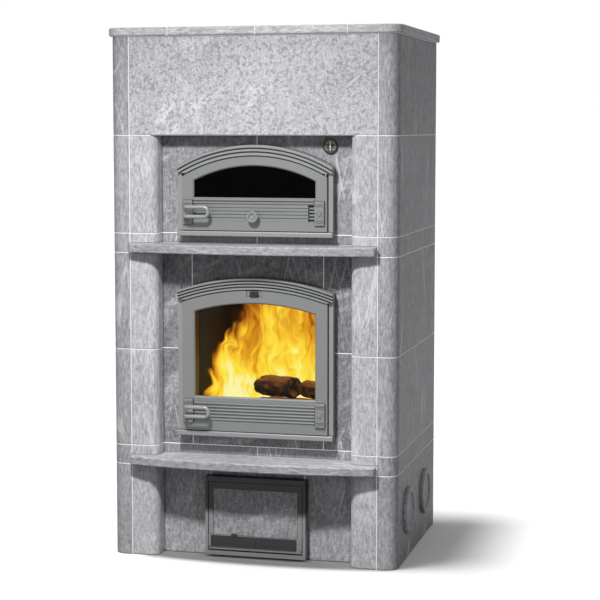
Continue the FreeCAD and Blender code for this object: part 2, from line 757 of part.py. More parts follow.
def door_frame(frame, trim, seat, ridges):
    half, bottom, radius, centre = frame
    opening = opening_of(frame, trim)
    hole = inset(opening, seat)
    neck = inset(opening, seat - NECK_T)
    body = arch_ring(frame, opening, Y_FRAME, Y_NICHE)
    plate = arch_ring(opening, hole, Y_SEAT, Y_NICHE)
    tube = arch_ring(neck, hole, Y_NICHE, Y_WALL - NECK_BACK)
    leaf = inset(opening, LEAF_GAP)
    x = hinge_x(frame)
    swing = Y_HINGE - Y_RIDGE + TRIM_EASE
    trim_end = arch_height(leaf, x - swing) + TRIM_CLEAR
    upper = box(-half, half, Y_RIDGE - 1, Y_NICHE, trim_end, centre + radius + 1)
    moulding = arch_ring(frame, opening, Y_TRIM, Y_FRAME).common(upper)
    strips = both(box(half - STRIP_W, half, Y_STRIP, Y_FRAME, bottom, trim_end))
    steps = []
    pitch = trim / ridges
    for i in range(ridges):
        outer = radius - pitch * i - (0 if i == 0 else RIDGE_GAP / 2)
        inner = radius - pitch * (i + 1) + (0 if i == ridges - 1 else RIDGE_GAP / 2)
        profile = [(0, inner), (0, outer), (-RIDGE_D / 2, outer), (-RIDGE_D, outer - RIDGE_BEVEL)]
        profile += [(-RIDGE_D, inner + RIDGE_BEVEL * 2), (-RIDGE_D / 2, inner)]
        steps.append(turned(profile, V(0, Y_TRIM, centre), V(0, 1, 0)).common(upper))
    ledge = box(-half, half, Y_LEDGE, Y_FRAME, bottom, bottom + SILL_H)
    nose = edges_where(ledge, lambda b: b.YMax < Y_LEDGE + 0.01 and b.XLength > 1)
    ledge = ledge.makeFillet(LEDGE_R, nose)
    casting = fused(body, plate, tube, moulding, ledge, *strips, *steps)
    low = bottom + SILL_H - PIN_HOLD
    lower = cylinder(PIN_R + PIN_FIT, V(x, Y_HINGE, low), V(0, 0, 1), PIN_HOLD + 1)
    reach = LEAF_GAP + PIN_TOP_HOLD + PIN_END
    upper = cylinder(PIN_R + PIN_FIT, V(x, Y_HINGE, arch_height(leaf, x)), V(0, 0, 1), reach)
    return casting.cut([lower, upper])


def hinge_pins(frame, trim):
    """Lower pin standing in the frame, upper pin standing in the leaf."""
    x = hinge_x(frame)
    leaf = inset(opening_of(frame, trim), LEAF_GAP)
    low = frame[1] + SILL_H - PIN_HOLD
    lower = cylinder(PIN_R, V(x, Y_HINGE, low), V(0, 0, 1), leaf[1] + PIN_REACH - low)
    top = arch_height(leaf, x)
    length = PIN_REACH + LEAF_GAP + PIN_TOP_HOLD
    upper = cylinder(PIN_R, V(x, Y_HINGE, top - PIN_REACH), V(0, 0, 1), length)
    return lower, upper


def window_of(frame, trim, half, up, rail):
    """Window outline in the leaf, its arch parallel to the leaf's own."""
    leaf = inset(opening_of(frame, trim), LEAF_GAP)
    return half, frame[1] + up, leaf[2] - rail, leaf[3]


def door_leaf(frame, trim, window):
    """Leaf casting with a rounded hinge edge, bevelled window, glass rebate and pin bores."""
    leaf = inset(opening_of(frame, trim), LEAF_GAP)
    casting = arch_prism(leaf, Y_LEAF, Y_LEAF_BACK)
    right = edges_where(casting, lambda b: b.XMin > leaf[0] - 0.01 and b.ZLength > 1)
    corner = [e for e in right if e.BoundBox.YMax < Y_LEAF + 0.01]
    casting = casting.makeFillet(HINGE_ROUND, corner)
    casting = casting.cut(arch_prism(window, Y_LEAF - 1, Y_LEAF_BACK + 1))
    wide = inset(window, -BEVEL)
    bevel = Part.makeLoft([arch_wire(wide, Y_LEAF), arch_wire(window, Y_LEAF + BEVEL)], True)
    casting = casting.cut(bevel)
    lap = inset(window, -GLASS_LAP - GLASS_FIT)
    casting = casting.cut(arch_prism(lap, Y_LEAF + LIP_T, Y_LEAF_BACK + 1))
    x = hinge_x(frame)
    lower = cylinder(PIN_R + PIN_FIT, V(x, Y_HINGE, leaf[1] - 1), V(0, 0, 1), PIN_REACH + 1)
    top = arch_height(leaf, x)
    upper = cylinder(PIN_R + PIN_FIT, V(x, Y_HINGE, top - PIN_REACH), V(0, 0, 1), 2 * PIN_REACH)
    return casting.cut([lower, upper])


def door_glass(window):
    pane = inset(window, -GLASS_LAP)
    y0 = Y_LEAF + LIP_T
    return arch_prism(pane, y0, y0 + GLASS_T)


def glass_retainer(window):
    outer = inset(window, -GLASS_LAP)
    inner = inset(window, -RETAINER_IN)
    return arch_ring(outer, inner, Y_LEAF + LIP_T + GLASS_T, Y_LEAF_BACK)


def door_gasket(frame, trim):
    leaf = inset(opening_of(frame, trim), LEAF_GAP)
    outer = inset(leaf, GASKET_IN)
    return arch_ring(outer, inset(outer, GASKET_W), Y_LEAF_BACK, Y_SEAT - GASKET_FIT)


def ornament_block(x0, z0, boss):
    """Raised block on the leaf with plain cross grooves and, on request, a round boss."""
    block = box(x0, x0 + BLOCK_W, Y_LEAF - BLOCK_D, Y_LEAF, z0, z0 + BLOCK_H)
    front = edges_where(block, lambda b: b.YMax < Y_LEAF - BLOCK_D + 0.01)
    block = block.makeChamfer(BLOCK_BEVEL, front)
    face = Y_LEAF - BLOCK_D
    left = x0 + BLOCK_LINE_IN
    right = x0 + BLOCK_W - BLOCK_LINE_IN
    for step in BLOCK_LINES:
        for z in (z0 + step, z0 + BLOCK_H - step - BLOCK_LINE_W):
            block = block.cut(box(left, right, face - 1, face + BLOCK_LINE_DEEP, z, z + BLOCK_LINE_W))
    if boss:
        middle = V(x0 + BLOCK_W / 2, face, z0 + BLOCK_H / 2)
        step = BOSS_D - BOSS_EDGE
        profile = [(0, 0), (0, BOSS_R), (step, BOSS_R), (BOSS_D, BOSS_R - BOSS_EDGE), (BOSS_D, 0)]
        disc = turned(profile, middle, V(0, -1, 0))
        block = fused(block, disc)
    return block


def handle_place(frame, up):
    """Spindle centre of the loop handle."""
    return -frame[0] + STRIP_W + LEAF_GAP + BLOCK_EDGE + SPINDLE_INSET, frame[1] + up


def handle(frame, up):
    """Loop handle: bent rod on a rocker plate, with the spindle that turns in the leaf."""
    x, z = handle_place(frame, up)
    y0 = Y_LEAF - BLOCK_D - ROCKER_GAP
    rocker = rounded_upright(x, z, y0 - ROCKER_T, y0)
    out = y0 - HANDLE_OUT
    tail = x - HANDLE_TAIL
    bend = HANDLE_BEND
    turn = x + HANDLE_REACH
    elbow = bend * (1 - math.sqrt(0.5))
    arms = []
    for leg in (z + HANDLE_LEG, z - HANDLE_LEG):
        root = V(tail, y0 - ROCKER_T / 2, leg)
        rise = V(tail, out + bend, leg)
        run = V(tail + bend, out, leg)
        curve = Part.Arc(rise, V(tail + elbow, out + elbow, leg), run).toShape()
        arms.append([Part.makeLine(root, rise), curve, Part.makeLine(run, V(turn, out, leg))])
    upper, lower = arms
    loop = Part.Arc(V(turn, out, z + HANDLE_LEG), V(turn + HANDLE_LEG, out, z), V(turn, out, z - HANDLE_LEG))
    path = Part.Wire(Part.__sortEdges__(upper + [loop.toShape()] + lower))
    start = V(tail, y0 - ROCKER_T / 2, z + HANDLE_LEG)
    ring = Part.Wire([Part.makeCircle(HANDLE_ROD_R, start, V(0, -1, 0))])
    rod = path.makePipeShell([ring], True, True)
    front = y0 - ROCKER_T
    spindle = cylinder(SPINDLE_R, V(x, front, z), V(0, 1, 0), Y_LEAF_BACK + LATCH_GAP + LATCH_T - front)
    return fused(rocker, rod, spindle)


def rounded_upright(x, z, y0, y1):
    """Rocker plate standing upright, rounded at the corners."""
    half_h = HANDLE_LEG + HANDLE_ROD_R + ROCKER_EDGE
    plate = box(x - ROCKER_LEFT, x + ROCKER_RIGHT, y0, y1, z - half_h, z + half_h)
    return plate.makeFillet(ROCKER_R, edges_where(plate, lambda b: b.YLength > 1))


def latch(frame, up):
    """Latch tongue on the spindle's inner end."""
    x, z = handle_place(frame, up)
    y0 = Y_LEAF_BACK + LATCH_GAP
    half_w = SPINDLE_R + LATCH_WALL
    bar = box(x - half_w, x + half_w, y0, y0 + LATCH_T, z - LATCH_L, z + half_w)
    bar = bar.makeFillet(LATCH_R, edges_where(bar, lambda b: b.YLength > 1))
    return bar.cut(cylinder(SPINDLE_R, V(x, y0 - 1, z), V(0, 1, 0), LATCH_T + 2))


def spindle_hole(frame, up):
    x, z = handle_place(frame, up)
    return cylinder(SPINDLE_R + PIN_FIT, V(x, Y_LEAF - BLOCK_D - 1, z), V(0, 1, 0), BLOCK_D + LEAF_T + 2)


def door_blocks(frame, up, handle_up):
    """Handle block at the free edge and plain block at the hinge edge."""
    z0 = frame[1] + up
    left = -frame[0] + STRIP_W + LEAF_GAP + BLOCK_EDGE
    right = frame[0] - STRIP_W - LEAF_GAP - BLOCK_HINGE_EDGE - BLOCK_W
    handle_block = ornament_block(left, z0, False).cut(spindle_hole(frame, handle_up))
    return [handle_block, ornament_block(right, z0, True)]


def rib(leaf_half, z0, height, depth):
    """Low bar with bevelled edges on the leaf's face, from one block to the other."""
    left = BLOCK_EDGE + BLOCK_W + RIB_GAP - leaf_half
    right = leaf_half - BLOCK_HINGE_EDGE - BLOCK_W - RIB_GAP
    bar = box(left, right, Y_LEAF - depth, Y_LEAF, z0, z0 + height)
    front = edges_where(bar, lambda b: b.YMax < Y_LEAF - depth + 0.01 and b.XLength > 1)
    return bar.makeChamfer(RIB_BEVEL, front)


# Oven door with its sliding air plate
oven_window = window_of(oven_frame, OVEN_TRIM, OVEN_WINDOW_HALF, OVEN_WINDOW_UP, OVEN_RAIL)
oven_z = oven_frame[1]
save("oven_door_frame", [door_frame(oven_frame, OVEN_TRIM, OVEN_SEAT, OVEN_RIDGES)])
oven_lower_pin, oven_upper_pin = hinge_pins(oven_frame, OVEN_TRIM)
save("oven_hinge_pin_upper", [oven_upper_pin])

slide_z0 = oven_z + SLIDE_UP
slide_z1 = slide_z0 + SLIDE_H
slide_floor = Y_LEAF + SLIDE_DEEP
pocket_left = SLIDE_LEFT - SLIDE_END
pocket_right = SLIDE_RIGHT + SLIDE_TRAVEL + SLIDE_END
knob_z = oven_z + KNOB_UP
leaf = door_leaf(oven_frame, OVEN_TRIM, oven_window)
rib_z = slide_z1 + RIB_UP
for i in range(2):
    leaf = leaf.fuse(rib(OVEN_LEAF_HALF, rib_z + i * (RIB_H + RIB_GAP), RIB_H, RIB_D))
leaf = leaf.removeSplitter()
pocket_z0 = slide_z0 - SLIDE_FIT
pocket = box(pocket_left, pocket_right, Y_LEAF - 1, slide_floor, pocket_z0, slide_z1 + SLIDE_FIT)
leaf = leaf.cut(pocket)
vent_pitch = SLIDE_H / (SLIDE_GROOVES + 1)
vents = []
for i in range(SLIDE_GROOVES + 1):
    z = slide_z0 + vent_pitch * (i + 0.5)
    x0 = SLIDE_RIGHT + VENT_EDGE
    x1 = SLIDE_RIGHT + SLIDE_TRAVEL - VENT_EDGE
    vents.append(box(x0, x1, Y_LEAF, Y_LEAF_BACK + 1, z - VENT_H / 2, z + VENT_H / 2))
leaf = leaf.cut(vents)
guide_half = SCREW_R + SLIDE_FIT
guide = box(-guide_half, SLIDE_TRAVEL + guide_half, Y_LEAF, Y_LEAF_BACK + 1, -guide_half, guide_half)
guide.translate(V(0, 0, knob_z))
leaf = leaf.cut([guide, spindle_hole(oven_frame, OVEN_HANDLE_UP)])
save("oven_door_leaf", [leaf])
save("oven_door_glass", [door_glass(oven_window)])
save("oven_glass_retainer", [glass_retainer(oven_window)])
save("oven_door_gasket", [door_gasket(oven_frame, OVEN_TRIM)])
save("oven_door_blocks", door_blocks(oven_frame, OVEN_BLOCK_UP, OVEN_HANDLE_UP))
save("oven_handle", [handle(oven_frame, OVEN_HANDLE_UP)])
save("oven_latch", [latch(oven_frame, OVEN_HANDLE_UP)])

plate = box(SLIDE_LEFT, SLIDE_RIGHT, Y_LEAF, slide_floor - SLIDE_FIT, slide_z0, slide_z1)
for i in range(1, SLIDE_GROOVES + 1):
    z = slide_z0 + vent_pitch * i
    groove = box(SLIDE_LEFT - 1, SLIDE_RIGHT + 1, Y_LEAF - 1, Y_LEAF + GROOVE_DEEP, 0, GROOVE_W)
    plate = plate.cut(groove.translate(V(0, 0, z - GROOVE_W / 2)))
screw_line = V(0, -1, 0)
plate = plate.cut(cylinder(SCREW_R, V(0, slide_floor + 1, knob_z), screw_line, SLIDE_DEEP + 2))
save("oven_air_slide", [plate])

knob = turned(
    [
        (0, SCREW_R),
        (0, KNOB_NECK_R + KNOB_FOOT),
        (KNOB_FOOT, KNOB_NECK_R),
        (KNOB_OUT - KNOB_HEAD, KNOB_NECK_R),
        (KNOB_OUT - 3 * KNOB_EDGE, KNOB_R - KNOB_EDGE),
        (KNOB_OUT - 2 * KNOB_EDGE, KNOB_R),
        (KNOB_OUT - KNOB_EDGE, KNOB_R),
        (KNOB_OUT, KNOB_R - KNOB_EDGE),
        (KNOB_OUT, KNOB_R - KNOB_RING),
        (KNOB_OUT - KNOB_DISH, KNOB_R - KNOB_RING - KNOB_EDGE),
        (KNOB_OUT - KNOB_DISH, SCREW_R),
    ],
    V(0, Y_LEAF, knob_z),
    screw_line,
)
save("oven_air_knob", [knob])
shank = LEAF_T + WASHER_T
screw = turned(
    [
        (-shank, 0),
        (-shank, WASHER_R),
        (-LEAF_T - SLIDE_FIT, WASHER_R),
        (-LEAF_T - SLIDE_FIT, SCREW_R),
        (KNOB_OUT - KNOB_DISH, SCREW_R),
        (KNOB_OUT - KNOB_DISH, SCREW_HEAD_R),
        (KNOB_OUT - 1, SCREW_HEAD_R - 1),
        (KNOB_OUT - 1, 0),
    ],
    V(0, Y_LEAF, knob_z),
    screw_line,
)
save("oven_air_screw", [screw])

# Firebox door with louvre ribs and the small air tab under the arch
fire_window = window_of(fire_frame, FIRE_TRIM, FIRE_WINDOW_HALF, FIRE_WINDOW_UP, FIRE_RAIL)
fire_z = fire_frame[1]
save("firebox_door_frame", [door_frame(fire_frame, FIRE_TRIM, fire_seat, FIRE_RIDGES)])
fire_lower_pin, fire_upper_pin = hinge_pins(fire_frame, FIRE_TRIM)
save("lower_hinge_pins", [oven_lower_pin, fire_lower_pin])
save("firebox_hinge_pin_upper", [fire_upper_pin])

leaf = door_leaf(fire_frame, FIRE_TRIM, fire_window)
for i in range(LOUVRES):
    leaf = leaf.fuse(rib(FIRE_LEAF_HALF, fire_z + LOUVRE_UP + LOUVRE_PITCH * i, LOUVRE_H, LOUVRE_D))
leaf = leaf.removeSplitter()
fire_leaf_top = arch_height(inset(opening_of(fire_frame, FIRE_TRIM), LEAF_GAP), 0)
tab_top = fire_leaf_top - TAB_DOWN
tab_low = tab_top - TAB_H
tab_face = Y_LEAF + TAB_RECESS
track_x = TAB_W / 2 + TAB_TRAVEL + TAB_END
track = box(-track_x, track_x, Y_LEAF - 1, tab_face, tab_low - TAB_FIT, fire_leaf_top + 1)
stem_x = TAB_STEM_W / 2
stem_top = fire_leaf_top - TAB_STEM_DOWN + TAB_STEM_H / 2
stem_low = stem_top - TAB_STEM_H
slot_x = stem_x + TAB_TRAVEL + TAB_FIT
slot = box(-slot_x, slot_x, Y_LEAF - 1, Y_LEAF_BACK + 1, stem_low - TAB_FIT, stem_top + TAB_FIT)
leaf = leaf.cut([track, slot, spindle_hole(fire_frame, FIRE_HANDLE_UP)])
save("firebox_door_leaf", [leaf])
save("firebox_door_glass", [door_glass(fire_window)])
save("firebox_glass_retainer", [glass_retainer(fire_window)])
save("firebox_door_gasket", [door_gasket(fire_frame, FIRE_TRIM)])
save("firebox_door_blocks", door_blocks(fire_frame, FIRE_BLOCK_UP, FIRE_HANDLE_UP))
save("firebox_handle", [handle(fire_frame, FIRE_HANDLE_UP)])
save("firebox_latch", [latch(fire_frame, FIRE_HANDLE_UP)])

tab = box(-TAB_W / 2, TAB_W / 2, Y_LEAF - TAB_D, tab_face - TAB_FIT, tab_low, tab_top)
tab = tab.makeChamfer(TAB_BEVEL, edges_where(tab, lambda b: b.YMax < Y_LEAF - TAB_D + 0.01))
stem = box(-stem_x, stem_x, tab_face - TAB_FIT, Y_LEAF_BACK + TAB_FIT, stem_low, stem_top)
keeper_y = Y_LEAF_BACK + TAB_FIT
keeper_z = stem_low - TAB_KEEPER_LAP
keeper = box(-TAB_W / 2, TAB_W / 2, keeper_y, keeper_y + TAB_KEEPER_T, keeper_z, stem_top)
save("firebox_air_tab", [fused(tab, stem, keeper)])

# Ash door: box frame, bottom-hinged flap with a stone inlay and a sliding air plate
ash_outer = (ASH_FRAME_HALF, ASH_FRAME_Z0, ASH_FRAME_Z0 + ASH_FRAME_H)
ash_open = (ash_outer[0] - ASH_SIDE_W, ash_outer[1] + ASH_SILL_H, ash_outer[2] - ASH_TOP_W)
Y_ASH = Y_NICHE - ASH_FRAME_D
Y_FLAP = Y_NICHE - FLAP_D


def ash_box(size, y0, y1, shrink=0.0):
    half, z0, z1 = size
    return box(-half + shrink, half - shrink, y0, y1, z0 + shrink, z1 - shrink)


ash_ring = ash_box(ash_outer, Y_ASH, Y_NICHE).cut(ash_box(ash_open, Y_ASH - 1, Y_NICHE + 1))
seat_y = Y_NICHE - ASH_SEAT_T
ash_seat = ash_box(ash_open, seat_y, Y_NICHE).cut(ash_box(ash_open, seat_y - 1, Y_NICHE + 1, ASH_SEAT_W))
sleeve_end = Y_WALL - NECK_BACK
sleeve = (ash_face - NECK_FIT, ash_open[1] + NECK_FIT, ash_open[2] - NECK_FIT)
ash_sleeve = ash_box(sleeve, Y_NICHE, sleeve_end)
ash_sleeve = ash_sleeve.cut(ash_box(sleeve, Y_NICHE - 1, sleeve_end + 1, ASH_SLEEVE_T))
ash_frame = fused(ash_ring, ash_seat, ash_sleeve)
flap_axis_y = Y_FLAP + FLAP_HINGE_R
flap_z0 = ash_open[1] + FLAP_LIFT
flap_z1 = ash_open[2] - FLAP_GAP
flap_axis_z = flap_z0 + FLAP_HINGE_R
flap_x = ash_open[0] - FLAP_GAP
pin_in = flap_x - FLAP_PIN_L
pin_out = ash_open[0] + FLAP_PIN_L
pin_line = V(1, 0, 0)
for side in (1, -1):
    hole_start = V(side * (flap_x - 1), flap_axis_y, flap_axis_z)
    hole_length = pin_out + PIN_END - flap_x + 1
    ash_frame = ash_frame.cut(cylinder(FLAP_PIN_R + PIN_FIT, hole_start, pin_line * side, hole_length))
save("ash_door_frame", [ash_frame])

flap = box(-flap_x, flap_x, Y_FLAP, Y_FLAP + FLAP_T, flap_z0, flap_z1)
foot = edges_where(flap, lambda b: b.YMax < Y_FLAP + 0.01 and b.ZMax < flap_z0 + 0.01)
flap = flap.makeFillet(FLAP_HINGE_R, foot)
inlay_z1 = flap_z1 - INLAY_DOWN
inlay_z0 = flap_z0 + INLAY_UP
inlay_half = flap_x - INLAY_SET_IN
hole = box(-inlay_half, inlay_half, Y_FLAP - 1, Y_FLAP + INLAY_T, inlay_z0, inlay_z1)
lip = INLAY_LIP
lip_x = inlay_half - lip
through = box(-lip_x, lip_x, Y_FLAP, Y_FLAP + FLAP_T + 1, inlay_z0 + lip, inlay_z1 - lip)
flap = flap.cut([hole, through])
flap_pins = []
for side in (1, -1):
    start = V(side * pin_in, flap_axis_y, flap_axis_z)
    flap = flap.cut(cylinder(FLAP_PIN_R + PIN_FIT, start, pin_line * side, FLAP_PIN_L + 1))
    flap_pins.append(cylinder(FLAP_PIN_R, start, pin_line * side, pin_out - pin_in))
screw_z = flap_z0 + FLAP_HINGE_R + AIR_PLATE_UP + AIR_PLATE_H / 2
screw_start = V(0, Y_FLAP + FLAP_T / 2, screw_z)
flap = flap.cut(cylinder(AIR_SCREW_R, screw_start, V(0, -1, 0), FLAP_T))
save("ash_flap_frame", [flap])
save("ash_flap_pins", flap_pins)

inlay_x = inlay_half - INLAY_FIT
inlay_y = Y_FLAP + INLAY_SINK
inlay = box(-inlay_x, inlay_x, inlay_y, Y_FLAP + INLAY_T, inlay_z0, inlay_z1 - INLAY_FIT)
inlay = inlay.makeChamfer(INLAY_EDGE, edges_where(inlay, lambda b: b.YMax < inlay_y + 0.01))
save("ash_flap_stone", [inlay])

plate_y1 = Y_FLAP - AIR_PLATE_GAP
plate_y0 = plate_y1 - AIR_PLATE_T
plate_z0 = flap_axis_z + AIR_PLATE_UP
plate_z1 = plate_z0 + AIR_PLATE_H
plate_x = flap_x - STRAP_W - AIR_PLATE_FREE
air_plate = box(-plate_x, plate_x - AIR_TRAVEL, plate_y0, plate_y1, plate_z0, plate_z1)
tab_x0 = AIR_TAB_X - AIR_TAB_W / 2
grip = box(tab_x0, tab_x0 + AIR_TAB_W, plate_y1 - AIR_TAB_D, plate_y1, plate_z1, plate_z1 + AIR_TAB_H)
air_plate = fused(air_plate, grip)
slot_half = AIR_SCREW_R + SLIDE_FIT
slot = box(-slot_half - AIR_TRAVEL, slot_half, plate_y0 - 1, plate_y1 + 1, -slot_half, slot_half)
slot.translate(V(0, 0, screw_z))
save("ash_air_slide", [air_plate.cut(slot)])
head_y = plate_y0 - AIR_PLATE_GAP
screw = turned(
    [
        (0, 0),
        (0, AIR_SCREW_R),
        (screw_start.y - head_y, AIR_SCREW_R),
        (screw_start.y - head_y, AIR_SCREW_HEAD),
        (screw_start.y - head_y + AIR_SCREW_T, AIR_SCREW_HEAD - 1),
        (screw_start.y - head_y + AIR_SCREW_T, 0),
    ],
    screw_start,
    V(0, -1, 0),
)
save("ash_air_screw", [screw])
strap_z = flap_axis_z + STRAP_UP
strap = box(flap_x - STRAP_W, flap_x, Y_FLAP - STRAP_T, Y_FLAP, strap_z, strap_z + STRAP_H)
strap = strap.makeChamfer(STRAP_EDGE, edges_where(strap, lambda b: b.YMax < Y_FLAP - STRAP_T + 0.01))
save("ash_hinge_straps", both(strap))

# Thermometer on the niche face
thermo = V(THERMO_X, Y_NICHE, thermo_z)
outward = V(0, -1, 0)
case = turned(
    [
        (-STEM_L, 0),
        (-STEM_L, STEM_R),
        (0, STEM_R),
        (0, THERMO_R - 2),
        (THERMO_D - 2, THERMO_R),
        (THERMO_D, THERMO_R - 1),
        (THERMO_D, THERMO_R - THERMO_RIM),
        (THERMO_BACK, THERMO_R - THERMO_RIM),
        (THERMO_BACK, 0),
    ],
    thermo,
    outward,
)
save("thermometer_case", [case])
dial_y = Y_NICHE - THERMO_BACK
dial = cylinder(THERMO_R - THERMO_RIM - 0.3, V(THERMO_X, dial_y, thermo_z), outward, DIAL_T)
dial = dial.cut(cylinder(NEEDLE_PIN_R + PIN_FIT, V(THERMO_X, dial_y + 1, thermo_z), outward, DIAL_T + 2))
save("thermometer_dial", [dial])
hub_y = dial_y - DIAL_T
hub = cylinder(NEEDLE_HUB_R, V(THERMO_X, hub_y - NEEDLE_GAP, thermo_z), outward, NEEDLE_T + 2 * NEEDLE_GAP)
pivot = cylinder(NEEDLE_PIN_R, V(THERMO_X, dial_y - PIN_FIT, thermo_z), outward, DIAL_T + 2 * NEEDLE_GAP)
half_n = NEEDLE_W / 2
needle_y = hub_y - 2 * NEEDLE_GAP
arm = box(-half_n, half_n, needle_y - NEEDLE_T, needle_y, -NEEDLE_TAIL, NEEDLE_L)
arm.translate(V(THERMO_X, 0, thermo_z))
save("thermometer_needle", [fused(hub, pivot, arm)])

# Soot hatch covers, two on each side
def soot_cover(y):
    """Dished cover with a rounded rim and a plug that fills the hatch hole."""
    plug_r = HATCH_HOLE_R - HATCH_FIT
    dish_r = HATCH_R - HATCH_RIM
    profile = [
        (-HATCH_PLUG, 0),
        (-HATCH_PLUG, plug_r - HATCH_LEAD),
        (-HATCH_PLUG + HATCH_LEAD, plug_r),
        (0, plug_r),
        (0, HATCH_R),
        (HATCH_D, HATCH_R),
        (HATCH_D, dish_r),
        (HATCH_D - HATCH_DISH, dish_r - HATCH_DISH),
        (HATCH_D - HATCH_DISH, 0),
    ]
    cover = turned(profile, V(HALF, y, HATCH_Z), V(1, 0, 0))
    rims = edges_where(cover, lambda b: b.XMin > HALF + HATCH_D - 0.01)
    outer = [e for e in rims if e.BoundBox.YLength > 2 * HATCH_R - 1]
    inner = [e for e in rims if e.BoundBox.YLength <= 2 * HATCH_R - 1]
    return cover.makeFillet(HATCH_ROUND, outer).makeFillet(HATCH_INNER_ROUND, inner)


for y, place in zip(HATCH_Y, ("front", "rear")):
    cover = soot_cover(y)
    save("soot_cover_right_" + place, [cover])
    save("soot_cover_left_" + place, [mirrored(cover)])
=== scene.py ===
"""Looks of a soapstone baking oven: stone, castings, glass, rope seals, dial, fire and a plain studio."""

import math

import bmesh
import bpy
from bpy.props import FloatProperty, FloatVectorProperty, IntProperty, PointerProperty
from mathutils import Matrix, Vector, noise


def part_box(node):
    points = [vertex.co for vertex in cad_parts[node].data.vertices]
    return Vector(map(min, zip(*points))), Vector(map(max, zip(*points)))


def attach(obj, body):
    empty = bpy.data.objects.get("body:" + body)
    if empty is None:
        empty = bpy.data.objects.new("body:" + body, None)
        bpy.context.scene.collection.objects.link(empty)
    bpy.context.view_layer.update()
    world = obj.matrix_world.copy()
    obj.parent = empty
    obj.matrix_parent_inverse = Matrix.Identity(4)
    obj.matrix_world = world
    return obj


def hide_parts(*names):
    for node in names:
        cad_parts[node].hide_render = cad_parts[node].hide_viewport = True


bl_info = {
    "name": "Soapstone baking oven",
    "version": (1, 0, 0),
    "blender": (4, 5, 0),
    "location": "3D View > Sidebar > Baking oven",
    "description": "Finishes, rope seals, dial, fire and studio for a soapstone baking oven",
    "category": "Object",
}

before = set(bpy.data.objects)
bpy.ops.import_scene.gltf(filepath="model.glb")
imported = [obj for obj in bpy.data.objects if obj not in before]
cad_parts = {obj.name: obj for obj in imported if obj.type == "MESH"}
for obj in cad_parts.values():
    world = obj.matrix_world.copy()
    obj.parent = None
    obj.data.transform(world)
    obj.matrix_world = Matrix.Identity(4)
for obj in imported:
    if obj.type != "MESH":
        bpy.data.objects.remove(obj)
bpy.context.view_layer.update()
COURSE_LEVELS = (0.318, 0.384, 0.717, 1.05, 1.116, 1.449, 1.782)  # heights of the bed joints
MIDDLE_JOINT = (0.0,)  # places of upright joints along X
TOP_JOINTS = (-0.29, 0.016, 0.33)
HEARTH_JOINTS = (-0.232, 0.232)
BASE_JOINTS = (-0.167, 0.167)
NO_JOINT = 9.0  # beyond the part, for a joint that a stone doesn't have
JOINTS = ("Joint A", "Joint B", "Joint C")
DOORS = ("oven", "firebox")
INSET = 0.004  # from the outline of a seal or retainer in to its middle line
FULL_TURN = 2 * math.pi


# Settings that a user would change

def amount(name, description, default, **options):
    return FloatProperty(name=name, description=description, default=default, **options)


def length(name, description, default):
    return amount(name, description, default, precision=5, unit="LENGTH")


def share(name, description, default):
    return amount(name, description, default, min=0.0, max=1.0, subtype="FACTOR")


def angle(name, description, degrees):
    return amount(name, description, math.radians(degrees), subtype="ANGLE")


def count(name, description, default):
    return IntProperty(name=name, description=description, default=default, min=1)


def colour(name, description, default):
    return FloatVectorProperty(
        name=name, description=description, default=default, size=3, min=0.0, max=1.0, subtype="COLOR"
    )


def position(name, description, default):
    return FloatVectorProperty(
        name=name, description=description, default=default, subtype="TRANSLATION", unit="LENGTH"
    )


class StoneSettings(bpy.types.PropertyGroup):
    """Colours and grain of the stones and their joints."""

    slab_colour: colour("Slab colour", "Mid tone of the side slabs", (0.405, 0.402, 0.425))
    # Top slabs: lighter than the rest, partly in their own tone, partly as painted light.
    top_colour_with_painted_light: colour("Top colour", "Slabs on the top", (0.6, 0.6, 0.625))
    shelf_colour: colour("Shelf colour", "Mid tone of the shelves", (0.385, 0.382, 0.405))
    pilaster_colour: colour("Pilaster colour", "Mid tone of the rounded pilasters", (0.515, 0.515, 0.537))
    # Niche stones: darker than the slabs, partly in their own tone, partly as painted shade.
    niche_colour_with_painted_shade: colour("Niche colour", "Mid tone of the stones round the oven door", (0.305, 0.3, 0.322))
    # Firebox stones: darker still, partly in their own tone, partly as painted shade.
    hearth_colour_with_painted_shade: colour("Hearth colour", "Mid tone of the stones round the firebox", (0.24, 0.236, 0.253))
    panel_colour: colour("Panel colour", "Mid tone of the mottled upper panel", (0.5, 0.503, 0.53))
    vein_colour: colour("Vein colour", "Pale veins and drifts in the stone", (0.86, 0.86, 0.88))
    mortar_colour: colour("Mortar colour", "Pale mortar in the joints", (0.93, 0.93, 0.95))
    bed: length("Bed", "Height of the dull mortar beds on the shelves", 0.004)
    # Painted shade: the stones darken in their corners, near other faces.
    crevice: length("Crevice", "Width of the dark in the corners of the stones", 0.012)
    soot_colour: colour("Soot colour", "Smoked stone inside the chambers", (0.024, 0.018, 0.014))
    grain: length("Grain", "Size of the stone's grain", 0.0065)
    spot: length("Spot", "Size of the dark spots in the mottled stone", 0.013)


